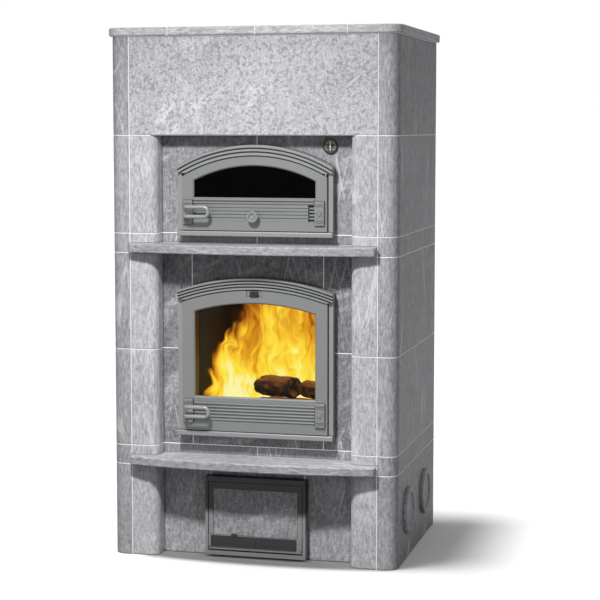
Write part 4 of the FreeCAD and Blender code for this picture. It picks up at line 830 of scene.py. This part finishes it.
class OVEN_OT_pane_finish(bpy.types.Operator):
    """Gives the firebox clear ceramic glass and the oven smoked glass, with a breath of soot. The oven
    pane's near black is partly painted shade.
    """

    bl_idname = "oven.pane_finish"
    bl_label = "Pane finish"

    def execute(self, context):
        look = context.scene.oven_glass
        coat(pane_material("Clear pane", look.tint, look.haze), "firebox_door_glass")
        # Oven pane: smoked, and near black partly as painted shade.
        coat(pane_material("Smoked and shaded pane", look.smoke_and_shade_tint, look.haze), "oven_door_glass")
        return {"FINISHED"}


# Rope seals, screws and dial

def rope_tree():
    """Three strands twisted about a closed line."""
    strands, sides, corner_points = 3, 6, 6
    graph, given, put = growing_tree(
        "Twisted Rope", Float=("Rope Radius", "Strand Radius", "Turns", "Bend"), Int=("Points",)
    )
    line = graph.out("GeometryNodeMeshToCurve", {"Mesh": given["Geometry"]})
    rounded = graph.out("GeometryNodeFilletCurve", {
        "Curve": line, "Radius": given["Bend"], "Limit Radius": True, "Count": corner_points,
    }, mode="POLY")
    even = graph.out("GeometryNodeResampleCurve", {"Curve": rounded, "Count": given["Points"]})
    along = graph.node("GeometryNodeSplineParameter").outputs["Factor"]
    normal = graph.out("GeometryNodeInputNormal")
    side = graph.vector("CROSS_PRODUCT", graph.out("GeometryNodeInputTangent"), normal)
    reach = graph.minus(given["Rope Radius"], given["Strand Radius"])
    circle = {"Radius": given["Strand Radius"], "Resolution": sides}
    profile = graph.out("GeometryNodeCurvePrimitiveCircle", circle)
    rope = graph.node("GeometryNodeJoinGeometry")
    for strand in range(strands):
        turn = graph.line(graph.product(along, given["Turns"]), FULL_TURN, strand * FULL_TURN / strands)
        across = graph.scaled(normal, graph.product(graph.math("COSINE", turn), reach))
        beside = graph.scaled(side, graph.product(graph.math("SINE", turn), reach))
        offset = graph.vector("ADD", across, beside)
        moved = graph.out("GeometryNodeSetPosition", {"Geometry": even, "Offset": offset})
        tube = graph.out("GeometryNodeCurveToMesh", {"Curve": moved, "Profile Curve": profile})
        graph.feed(rope.inputs[0], tube)
    return finish_tree(graph, rope.outputs[0], given, put)


class OVEN_OT_rope_seals(bpy.types.Operator):
    """Lays a twisted rope seal behind each glazed door leaf"""

    bl_idname = "oven.rope_seals"
    bl_label = "Rope seals"

    def execute(self, context):
        look = context.scene.oven_seal
        material, graph, shader, place = new_material("Rope seal fibre")
        fibre = graph.noise(place, 900.0, 3.0, 0.7)
        soot_and_shade = graph.noise(place, 24.0)
        tone = graph.total(1.0, graph.spread(fibre, 0.9), graph.spread(soot_and_shade, 0.7))
        graph.fill(shader, {"Base Color": graph.scaled(look.rope_colour, tone), "Roughness": 0.95})
        bumped(graph, shader, fibre, 0.6, 0.0005)
        rope = rope_tree()
        points_per_turn = 8
        for door in DOORS:
            node = door + "_door_gasket"
            low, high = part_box(node)
            line = arch_points(node, (low.y + high.y) / 2)
            run = sum((a - b).length for a, b in zip(line, line[1:] + line[:1]))
            turns = round(run / look.pitch)
            name = door + "_rope_seal"
            mesh = grown(name, path_mesh(name, line), rope, {
                "Rope Radius": look.rope_radius, "Strand Radius": look.strand_radius, "Turns": float(turns),
                "Points": turns * points_per_turn, "Bend": look.bend, "Material": material,
            })
            piece = new_piece(name, mesh, material, door + "_door")
            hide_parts(node)
        return {"FINISHED"}


def row_tree():
    """A template set at even steps round a closed line."""
    graph, given, put = growing_tree("Screw Row", Object=("Template",), Int=("Number",))
    line = graph.out("GeometryNodeMeshToCurve", {"Mesh": given["Geometry"]})
    even = graph.out("GeometryNodeResampleCurve", {"Curve": line, "Count": given["Number"]})
    template = graph.node("GeometryNodeObjectInfo", {"Object": given["Template"]}).outputs["Geometry"]
    row = graph.out("GeometryNodeInstanceOnPoints", {"Points": even, "Instance": template})
    return finish_tree(graph, row, given, put)


def screw_template(look):
    """Domed screw head with a round socket, standing towards +Y."""
    sides = 12
    # Parts of the head's radius and height
    outline = [(0.0, 0.0), (1.0, 0.0), (1.0, 0.45), (0.82, 0.85), (0.55, 1.0), (0.42, 1.0), (0.399, 0.35)]
    outline.append((0.0, outline[-1][1]))
    shape = lathe([(r * look.head_radius, h * look.head_height) for r, h in outline], sides)
    bmesh.ops.transform(shape, matrix=Matrix.Rotation(-math.pi / 2, 4, "X"), verts=shape.verts)
    return linked("screw_template", mesh_from("screw_template", shape))


class OVEN_OT_retainer_screws(bpy.types.Operator):
    """Sets a row of screws on each glass retainer"""

    bl_idname = "oven.retainer_screws"
    bl_label = "Retainer screws"

    def execute(self, context):
        look = context.scene.oven_screw
        material = metal_material("Screw steel", context.scene.oven_metal.steel_colour, 1.0, 0.36, 0.2, 0.1)
        template = screw_template(look)
        row = row_tree()
        values = {"Template": template, "Number": look.number, "Material": material}
        for door in DOORS:
            node = door + "_glass_retainer"
            line = arch_points(node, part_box(node)[1].y)
            name = door + "_retainer_screws"
            mesh = grown(name, path_mesh(name, line), row, values)
            piece = new_piece(name, mesh, material, door + "_door")
        bpy.data.objects.remove(template)
        return {"FINISHED"}


def tick_tree():
    """Ticks round part of a circle, every fifth one longer."""
    bar_size = (0.16, 0.05, 1.0)  # parts of a short tick's length
    long_every, longer_by = 5.0, 0.55
    graph, given, put = growing_tree(
        "Dial Ticks", Int=("Ticks",), Float=("Circle", "Size", "Sweep"), Vector=("Centre",)
    )
    index = graph.out("GeometryNodeInputIndex")
    part = graph.minus(graph.math("DIVIDE", index, graph.minus(given["Ticks"], 1.0)), 0.5)
    turn = graph.product(part, given["Sweep"])
    away = graph.joined(graph.math("SINE", turn), 0.0, graph.math("COSINE", turn))
    place = graph.vector("ADD", given["Centre"], graph.scaled(away, given["Circle"]))
    points = graph.out("GeometryNodePoints", {"Count": given["Ticks"], "Position": place})
    bar = graph.out("GeometryNodeMeshCube", {"Size": bar_size})
    long = graph.math("COMPARE", graph.math("MODULO", index, long_every), 0.0, 0.1)
    size = given["Size"]
    row = graph.out("GeometryNodeInstanceOnPoints", {
        "Points": points, "Instance": bar, "Rotation": graph.joined(0.0, turn, 0.0),
        "Scale": graph.joined(size, size, graph.product(size, graph.line(long, longer_by, 1.0))),
    })
    return finish_tree(graph, row, given, put)


class OVEN_OT_thermometer(bpy.types.Operator):
    """Gives the thermometer's dial its face, ticks and numbers and covers it with a domed lens"""

    bl_idname = "oven.thermometer"
    bl_label = "Thermometer"

    def execute(self, context):
        look = context.scene.oven_dial
        face, graph, shader, place = new_material("Dial black")
        speck = graph.total(graph.noise(place, 700.0), 0.5)
        graph.fill(shader, {"Base Color": graph.scaled(look.face_colour, speck), "Roughness": 0.5})
        coat(face, "thermometer_dial")
        # Marks and numbers glow a little as painted light.
        mark = self.print_with_painted_glow("Dial marks", look.mark_colour, look.painted_mark_glow)
        coat(mark, "thermometer_needle")
        low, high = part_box("thermometer_dial")
        centre = Vector(((low.x + high.x) / 2, low.y, (low.z + high.z) / 2))
        ticks = grown("dial_ticks", path_mesh("dial_ticks", [centre, centre]), tick_tree(), {
            "Ticks": look.ticks, "Circle": look.tick_circle, "Size": look.tick_size, "Sweep": look.sweep,
            "Centre": centre, "Material": mark,
        })
        new_piece("dial_ticks", ticks, mark, "stone_block")
        numbers_with_painted_glow = self.print_with_painted_glow("Dial numbers", look.number_colour, look.painted_mark_glow)
        new_piece("dial_numbers", self.numbers(look, centre), numbers_with_painted_glow, "stone_block")
        self.lens(look, centre)
        return {"FINISHED"}

    def print_with_painted_glow(self, name, shade, glow):
        """Print with painted light: it glows a little, so that it shows in the shade behind the lens."""
        material, graph, shader, place = new_material(name)
        tone = graph.line(graph.noise(place, 1200.0), 0.2, 0.9)
        graph.fill(shader, {
            "Base Color": graph.scaled(shade, tone), "Roughness": 0.55,
            "Emission Color": shade, "Emission Strength": glow,
        })
        return material

    def numbers(self, look, centre):
        """Flat numbers inside the ring of ticks, raised a hair off the dial."""
        raised, merged = 0.00006, 1e-6
        away = look.tick_circle - look.number_gap
        shape = bmesh.new()
        for i in range(look.number_steps + 1):
            text = bpy.data.curves.new("number", "FONT")
            text.body = str(i * look.number_step)
            text.size = look.number_height
            text.align_x = "CENTER"
            text.align_y = "CENTER"
            text.extrude = raised
            carrier = linked("number", text)
            depsgraph = bpy.context.evaluated_depsgraph_get()
            mesh = bpy.data.meshes.new_from_object(carrier.evaluated_get(depsgraph))
            turn = look.sweep * (i / look.number_steps - 0.5)
            spot = centre + Vector((away * math.sin(turn), -raised, away * math.cos(turn)))
            mesh.transform(Matrix.Translation(spot) @ Matrix.Rotation(math.pi / 2, 4, "X"))
            shape.from_mesh(mesh)
            bpy.data.objects.remove(carrier)
            bpy.data.curves.remove(text)
            bpy.data.meshes.remove(mesh)
        bmesh.ops.remove_doubles(shape, verts=shape.verts, dist=merged)
        return mesh_from("dial_numbers", shape, smooth=False)

    def lens(self, look, centre):
        """Thin domed glass inside the rim."""
        material, graph, shader, place = new_material("Lens glass")
        smear = graph.ramp(graph.noise(place, 60.0), 0.5, 0.8)
        graph.fill(shader, {"Roughness": graph.product(smear, 0.06), "Alpha": 0.03})
        sides, steps, inner_part = 48, 8, 0.97
        rise, wall = look.lens_rise, look.lens_wall
        turns = [i * math.pi / (2 * steps) for i in range(steps)]
        outside = [(look.lens_radius * math.cos(a), rise * math.sin(a)) for a in turns]
        inside = [(r * inner_part, h - wall) for r, h in reversed(outside)]
        shape = lathe([(0.0, rise - wall)] + inside + outside + [(0.0, rise)], sides)
        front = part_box("thermometer_case")[0].y
        spot = Matrix.Translation((centre.x, front + look.lens_depth, centre.z))
        turn = Matrix.Rotation(math.pi / 2, 4, "X")
        bmesh.ops.transform(shape, matrix=spot @ turn, verts=shape.verts)
        new_piece("thermometer_lens", mesh_from("thermometer_lens", shape), material, "stone_block")


# Fire

def bark_material(look):
    """Charred bark that glows in its cracks, with painted light glowing on its upper faces."""
    material, graph, shader, place = new_material("Charred bark")
    rough = graph.noise(place, 46.0, 4.0, 0.65, 0.4)
    broken = graph.vector("ADD", place, graph.scaled(graph.joined(rough, rough, rough), 0.02))
    crack = graph.out("ShaderNodeTexVoronoi", {"Vector": broken, "Scale": 55.0})
    upward = graph.split(graph.node("ShaderNodeNewGeometry").outputs["Normal"])[2]
    # Real glow in the cracks, and painted light on the upper faces, as if the flames lit them.
    glow = graph.total(
        graph.product(graph.ramp(crack, 0.4, 0.7), graph.ramp(rough, 0.46, 0.7), 0.5),
        graph.product(graph.ramp(upward, 0.1, 1.0), rough, 1.1),
    )
    tone = graph.math("MAXIMUM", graph.total(0.55, graph.spread(rough, 2.2)), 0.15)
    graph.fill(shader, {
        "Base Color": graph.scaled(look.bark_colour, tone), "Roughness": 0.9,
        "Emission Color": graph.scaled(look.ember_colour, glow), "Emission Strength": 0.35,
    })
    bumped(graph, shader, rough, 0.9, 0.004)
    return material


def coal_material(look):
    """Coal that glows where no ash covers it."""
    material, graph, shader, place = new_material("Glowing coal")
    black = (0.02, 0.014, 0.012)
    heat = graph.noise(place, 34.0, 3.0, 0.6)
    crust = graph.noise(place, 160.0, 3.0, 0.7)
    cover = graph.ramp(crust, 0.42, 0.6)
    bare = graph.minus(1.0, graph.product(cover, 0.7))
    glow = graph.product(graph.ramp(heat, 0.36, 0.62), bare)
    graph.fill(shader, {
        "Base Color": graph.mix(cover, black, look.ash_colour), "Roughness": 0.95,
        "Emission Color": graph.scaled(look.ember_colour, glow), "Emission Strength": 0.9,
    })
    bumped(graph, shader, crust, 0.8, 0.002)
    return material


def log_mesh(name, start, end, radius, seed):
    """Log with ridged bark and hollowed ends."""
    sides, rings = 44, 26
    hollow = ((0.82, 0.02), (0.55, 0.16), (0.3, 0.32))  # size and depth of each ring, as parts of a radius
    deepest = 0.34
    axis = end - start
    turn = axis.to_track_quat("Z", "Y").to_matrix().to_4x4()
    shape = bmesh.new()
    grid = []
    for j in range(rings + 1):
        t = j / rings
        bow = noise.noise(Vector((seed, 3.0, t * 1.6)))
        ring = []
        for i in range(sides):
            swing = FULL_TURN * i / sides
            spot = Vector((math.cos(swing), math.sin(swing), t * axis.length / radius))
            ridge = noise.noise(Vector((spot.x * 3.1, spot.y * 3.1, spot.z * 0.7 + seed)))
            chip = noise.noise(Vector((spot.x * 9.0, spot.y * 9.0, spot.z * 3.0 + seed)))
            r = radius * (1.0 + 0.14 * ridge + 0.07 * chip)
            ring.append(shape.verts.new((r * spot.x + 0.3 * radius * bow, r * spot.y, t * axis.length)))
        grid.append(ring)
    for low, high in zip(grid, grid[1:]):
        bridge(shape, low, high)
    for ring, way in ((grid[0], 1.0), (grid[-1], -1.0)):
        middle = sum((v.co for v in ring), Vector()) / sides
        rim = ring
        for size, deep in hollow:
            inner = []
            for v in ring:
                spot = middle + (v.co - middle) * size
                inner.append(shape.verts.new((spot.x, spot.y, middle.z + way * deep * radius)))
            bridge(shape, rim, inner)
            rim = inner
        cap(shape, rim, shape.verts.new((middle.x, middle.y, middle.z + way * deepest * radius)))
    bmesh.ops.transform(shape, matrix=Matrix.Translation(start) @ turn, verts=shape.verts)
    return mesh_from(name, shape)


def ash_bed_mesh(base):
    """Low mound of ash on the grate. The coals are drawn on its faces in their order."""
    rings, sides = 14, 48
    half_width, half_depth, middle, height = 0.19, 0.14, -0.03, 0.016
    lump_height, lump_scale, rim_gap, floor_gap = 0.005, 28, 0.0005, 0.0002
    shape = bmesh.new()
    hub = shape.verts.new((0.0, middle, base + height))
    grid = []
    for j in range(1, rings + 1):
        t = j / rings
        ring = []
        for i in range(sides):
            swing = FULL_TURN * i / sides
            x = half_width * t * math.cos(swing)
            y = middle + half_depth * t * math.sin(swing)
            lump = noise.noise(Vector((x * lump_scale, y * lump_scale, 4.0))) * lump_height
            ring.append(shape.verts.new((x, y, base + rim_gap + (1 - t ** 2) * (height + lump))))
        grid.append(ring)
    under = shape.verts.new((0.0, middle, base + floor_gap))
    for i in range(sides):
        j = (i + 1) % sides
        shape.faces.new((hub, grid[0][i], grid[0][j]))
        shape.faces.new((under, grid[-1][j], grid[-1][i]))
        for low, high in zip(grid, grid[1:]):
            shape.faces.new((low[i], high[i], high[j], low[j]))
    return mesh_from("ash_bed", shape)


def coal_tree():
    """Lumps of coal scattered over a mound."""
    per_square_metre, roughness = 3400.0, 0.012
    graph, given, put = growing_tree("Scattered Coals", Float=("Size",), Int=("Seed",))
    seed = given["Seed"]
    spots = graph.out("GeometryNodeDistributePointsOnFaces", {
        "Mesh": given["Geometry"], "Density": per_square_metre, "Seed": seed,
    })
    lump = graph.out("GeometryNodeMeshIcoSphere", {"Radius": given["Size"], "Subdivisions": 2})
    size = graph.out("FunctionNodeRandomValue", {
        0: (0.5, 0.5, 0.35), 1: (1.25, 1.0, 0.75), "Seed": seed,
    }, data_type="FLOAT_VECTOR")
    turn = graph.out("FunctionNodeRandomValue", {
        1: (FULL_TURN, FULL_TURN, FULL_TURN), "Seed": seed,
    }, data_type="FLOAT_VECTOR")
    coals = graph.out("GeometryNodeInstanceOnPoints", {
        "Points": spots, "Instance": lump, "Rotation": turn, "Scale": size,
    })
    real = graph.out("GeometryNodeRealizeInstances", {"Geometry": coals})
    offset = graph.shaken(graph.out("GeometryNodeInputPosition"), 120.0, roughness)
    broken = graph.out("GeometryNodeSetPosition", {"Geometry": real, "Offset": offset})
    return finish_tree(graph, broken, given, put)


def flame_mesh(name, y, slant, foot, seed):
    """Thin wavy curtain, its left end slanting forwards, closed all round."""
    columns, rows = 46, 16
    half_width, height, half_thick, wave_depth = 0.22, 0.44, 0.0015, 0.02
    across = range(columns + 1)
    shape = bmesh.new()
    rings = []
    for j in range(rows + 1):
        t = j / rows
        ring = []
        for way, i in [(-1, i) for i in across] + [(1, i) for i in reversed(across)]:
            x = half_width * (2 * i / columns - 1)
            tip = 0.94 + 0.06 * noise.noise(Vector((x * 14, seed, 0.0)))
            wave = slant * x / half_width + wave_depth * noise.noise(Vector((x * 9, t * 2.2, seed)))
            depth = y + wave + way * half_thick * (1.02 - t)
            ring.append(shape.verts.new((x, depth, foot + height * tip * t)))
        rings.append(ring)
    for low, high in zip(rings, rings[1:]):
        bridge(shape, low, high)
    for ring in (rings[0], rings[-1]):
        for i in range(columns):
            shape.faces.new((ring[i], ring[i + 1], ring[-2 - i], ring[-1 - i]))
    return mesh_from(name, shape)


def flame_material(name, shift, foot, lean, thin):
    """Glow that is see-through where it is cool, and lights little of what is round it."""
    reach, fade, soft, dimming = 0.38, 0.05, 0.4, -0.97
    material, graph, shader, place = new_material(name)
    flame = graph.group("Flame Heat", build_flame_heat, {
        "Vector": place, "Shift": shift, "Foot": foot, "Reach": reach, "Lean": lean,
    })
    dimmed = graph.line(graph.node("ShaderNodeLightPath").outputs["Is Diffuse Ray"], dimming, 1.0)
    lit = graph.ramp(graph.split(place)[2], foot - fade, foot)
    graph.fill(shader, {
        "Base Color": (0.0, 0.0, 0.0), "Specular IOR Level": 0.0, "Roughness": 1.0, "Emission Strength": 1.0,
        "Emission Color": graph.scaled(flame["Color"], dimmed),
        "Alpha": graph.product(lit, graph.ramp(flame["Heat"], thin, thin + soft)),
    })
    return material


class OVEN_OT_fire(bpy.types.Operator):
    """Lays the ash, the coals and the logs and lights the flames"""

    bl_idname = "oven.fire"
    bl_label = "Fire"

    def execute(self, context):
        look = context.scene.oven_fire
        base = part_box("firebox_floor")[1].z
        coal = coal_material(look)
        bed = ash_bed_mesh(base)
        values = {"Size": look.coal_size, "Seed": look.seed, "Material": coal}
        new_piece("coals", grown("coals", bed.copy(), coal_tree(), values), coal, "stone_block")
        new_piece("ash_bed", bed, coal, "stone_block")
        bark = bark_material(look)
        # Each row: the log's two ends, with heights from the floor, its part of the log radius and its seed
        logs = (
            ((-0.19, 0.055, 0.046), (0.18, 0.035, 0.044), 0.9, 1.0),
            ((-0.175, -0.095, 0.045), (0.17, -0.12, 0.043), 0.86, 5.0),
            ((-0.11, -0.04, 0.11), (0.1, -0.185, 0.122), 1.0, 9.0),
            ((0.06, -0.02, 0.1), (0.21, -0.11, 0.098), 0.85, 13.0),
        )
        for i, (*ends, part, seed) in enumerate(logs):
            name = "log_" + str(i + 1)
            start, end = [Vector((x, y, base + z)) for x, y, z in ends]
            new_piece(name, log_mesh(name, start, end, part * look.log_radius, seed), bark, "stone_block")
        # Each row: name, place along Y, slant, seed, lean, least heat that shows, and shift of the pattern
        flames = (
            ("flame_back", 0.08, 0.0, 1.0, 5.5, 0.02, (0.0, 0.0, 0.0)),
            ("flame_middle", -0.06, 0.04, 4.0, 7.5, 0.05, (2.7, 0.4, 1.3)),
            ("flame_front", -0.1, 0.1, 8.0, 10.0, 0.35, (5.1, 0.9, 3.4)),
        )
        foot = base + 0.03
        full_glow = foot + 0.05
        for name, y, slant, seed, lean, thin, shift in flames:
            material = flame_material(name.replace("_", " "), shift, full_glow, lean, thin)
            new_piece(name, flame_mesh(name, y, slant, foot, seed), material, "stone_block")
        return {"FINISHED"}


# Studio

class OVEN_OT_stage(bpy.types.Operator):
    """Sets up the white floor, the lights and the camera"""

    bl_idname = "oven.stage"
    bl_label = "Stage"

    def execute(self, context):
        look = context.scene.oven_stage
        floor = self.floor(look)
        floor_only = self.receivers("Floor only", floor, "INCLUDE")
        not_floor = self.receivers("All but the floor", floor, "EXCLUDE")
        self.sky(context.scene, look)
        self.key(look, not_floor)
        self.sun("Rear sun", (-160, 45, 8), look.rear_strength, not_floor)
        self.sun("Front fill", (0, 8, 110), look.front_strength, not_floor)
        self.sun("Overhead sun", (-65, 81.5, 9), look.overhead_strength, floor_only)
        self.sun("Floor fill", (0, 90, 150), look.fill_strength, floor_only)
        self.camera(context.scene, look)
        context.scene.view_settings.view_transform = "Standard"
        return {"FINISHED"}

    def floor(self, look):
        """Wide white floor, a hair under the part, that throws only some of its light back."""
        half_width, under = 60.0, 0.0003
        shape = bmesh.new()
        bmesh.ops.create_grid(shape, x_segments=2, y_segments=2, size=half_width)
        bmesh.ops.translate(shape, vec=(0.0, 0.0, -under), verts=shape.verts)
        floor = linked("floor", mesh_from("floor", shape, smooth=False))
        material, graph, shader, place = new_material("White floor")
        dust = graph.line(graph.noise(place, 5.0), 0.01, 0.995)
        diffuse = graph.node("ShaderNodeLightPath").outputs["Is Diffuse Ray"]
        bounce = graph.line(diffuse, look.floor_bounce - 1.0, 1.0)
        graph.fill(shader, {
            "Base Color": graph.scaled(look.floor_colour, graph.product(dust, bounce)),
            "Roughness": 1.0, "Specular IOR Level": 0.0,
        })
        floor.data.materials.append(material)
        return floor

    def receivers(self, name, floor, state):
        """Collection that tells a lamp to light the floor alone, or all but the floor."""
        group = bpy.data.collections.new(name)
        group.objects.link(floor)
        group.collection_objects[0].light_linking.link_state = state
        return group

    def sky(self, scene, look):
        """White to the eye, and weaker as soft light and in what gloss reflects."""
        world = bpy.data.worlds.new("Studio")
        world.use_nodes = True
        scene.world = world
        graph = Graph(world.node_tree)
        ray = graph.node("ShaderNodeLightPath").outputs
        first = graph.minus(1.0, graph.math("MINIMUM", ray["Diffuse Depth"], 1.0))
        seen = graph.product(graph.math("MAXIMUM", ray["Is Camera Ray"], ray["Is Transmission Ray"]), first)
        soft = look.sky_strength
        strength = graph.line(seen, 1.0 - soft, soft)
        strength = graph.line(ray["Is Glossy Ray"], look.gloss_strength - soft, strength)
        graph.fill(world.node_tree.nodes["Background"], {"Color": (1.0, 1.0, 1.0), "Strength": strength})

    def lamp(self, name, kind, strength, towards, receivers):
        """Lamp that shines along a line on its receivers."""
        lamp = linked(name, bpy.data.lights.new(name, kind))
        lamp.data.energy = strength
        lamp.rotation_euler = towards.to_track_quat("-Z", "Y").to_euler()
        lamp.light_linking.receiver_collection = receivers
        return lamp

    def key(self, look, receivers):
        """Soft lamp above the front, turned to the foot, whose light doesn't weaken with distance."""
        towards = Vector(look.key_aim) - Vector(look.key_place)
        key = self.lamp("Key lamp", "SPOT", look.key_strength, towards, receivers)
        key.location = look.key_place
        key.data.shadow_soft_size = look.key_radius
        key.data.spot_size = look.key_cone
        key.data.spot_blend = 1.0
        key.data.use_nodes = True
        graph = Graph(key.data.node_tree)
        even = graph.node("ShaderNodeLightFalloff", {"Strength": 1.0}).outputs["Constant"]
        graph.fill(key.data.node_tree.nodes["Emission"], {"Strength": even})

    def sun(self, name, degrees, strength, receivers):
        """Lamp far away: its turn from the front, left being negative, its height and its spread."""
        turn, height, spread = [math.radians(value) for value in degrees]
        flat = math.cos(height)
        towards = Vector((-math.sin(turn) * flat, math.cos(turn) * flat, -math.sin(height)))
        self.lamp(name, "SUN", strength, towards, receivers).data.angle = spread

    def camera(self, scene, look):
        """The photo's camera."""
        data = bpy.data.cameras.new("Camera")
        data.sensor_width = 36.0
        data.lens = look.camera_lens
        data.shift_y = look.camera_shift
        camera = linked("Camera", data)
        camera.location = look.camera_place
        camera.rotation_euler = (look.camera_pitch, 0.0, look.camera_turn)
        scene.camera = camera


STEPS = (
    (OVEN_OT_stone_finish, "oven_stone", StoneSettings),
    (OVEN_OT_metal_finish, "oven_metal", MetalSettings),
    (OVEN_OT_pane_finish, "oven_glass", GlassSettings),
    (OVEN_OT_rope_seals, "oven_seal", SealSettings),
    (OVEN_OT_retainer_screws, "oven_screw", ScrewSettings),
    (OVEN_OT_thermometer, "oven_dial", DialSettings),
    (OVEN_OT_fire, "oven_fire", FireSettings),
    (OVEN_OT_stage, "oven_stage", StageSettings),
)


class OVEN_PT_panel(bpy.types.Panel):
    """Lists the oven's settings and steps"""

    bl_idname = "OVEN_PT_panel"
    bl_label = "Baking oven"
    bl_space_type = "VIEW_3D"
    bl_region_type = "UI"
    bl_category = "Baking oven"

    def draw(self, context):
        for step, group, kind in STEPS:
            box = self.layout.box()
            box.operator(step.bl_idname)
            for name in kind.__annotations__:
                box.prop(getattr(context.scene, group), name)


def register():
    for step, group, kind in STEPS:
        bpy.utils.register_class(kind)
        bpy.utils.register_class(step)
        setattr(bpy.types.Scene, group, PointerProperty(type=kind))
    bpy.utils.register_class(OVEN_PT_panel)


def unregister():
    bpy.utils.unregister_class(OVEN_PT_panel)
    for step, group, kind in reversed(STEPS):
        delattr(bpy.types.Scene, group)
        bpy.utils.unregister_class(step)
        bpy.utils.unregister_class(kind)


def main():
    register()
    bpy.ops.oven.stone_finish()
    bpy.ops.oven.metal_finish()
    bpy.ops.oven.pane_finish()
    bpy.ops.oven.rope_seals()
    bpy.ops.oven.retainer_screws()
    bpy.ops.oven.thermometer()
    bpy.ops.oven.fire()
    bpy.ops.oven.stage()


if __name__ == "__main__":
    main()
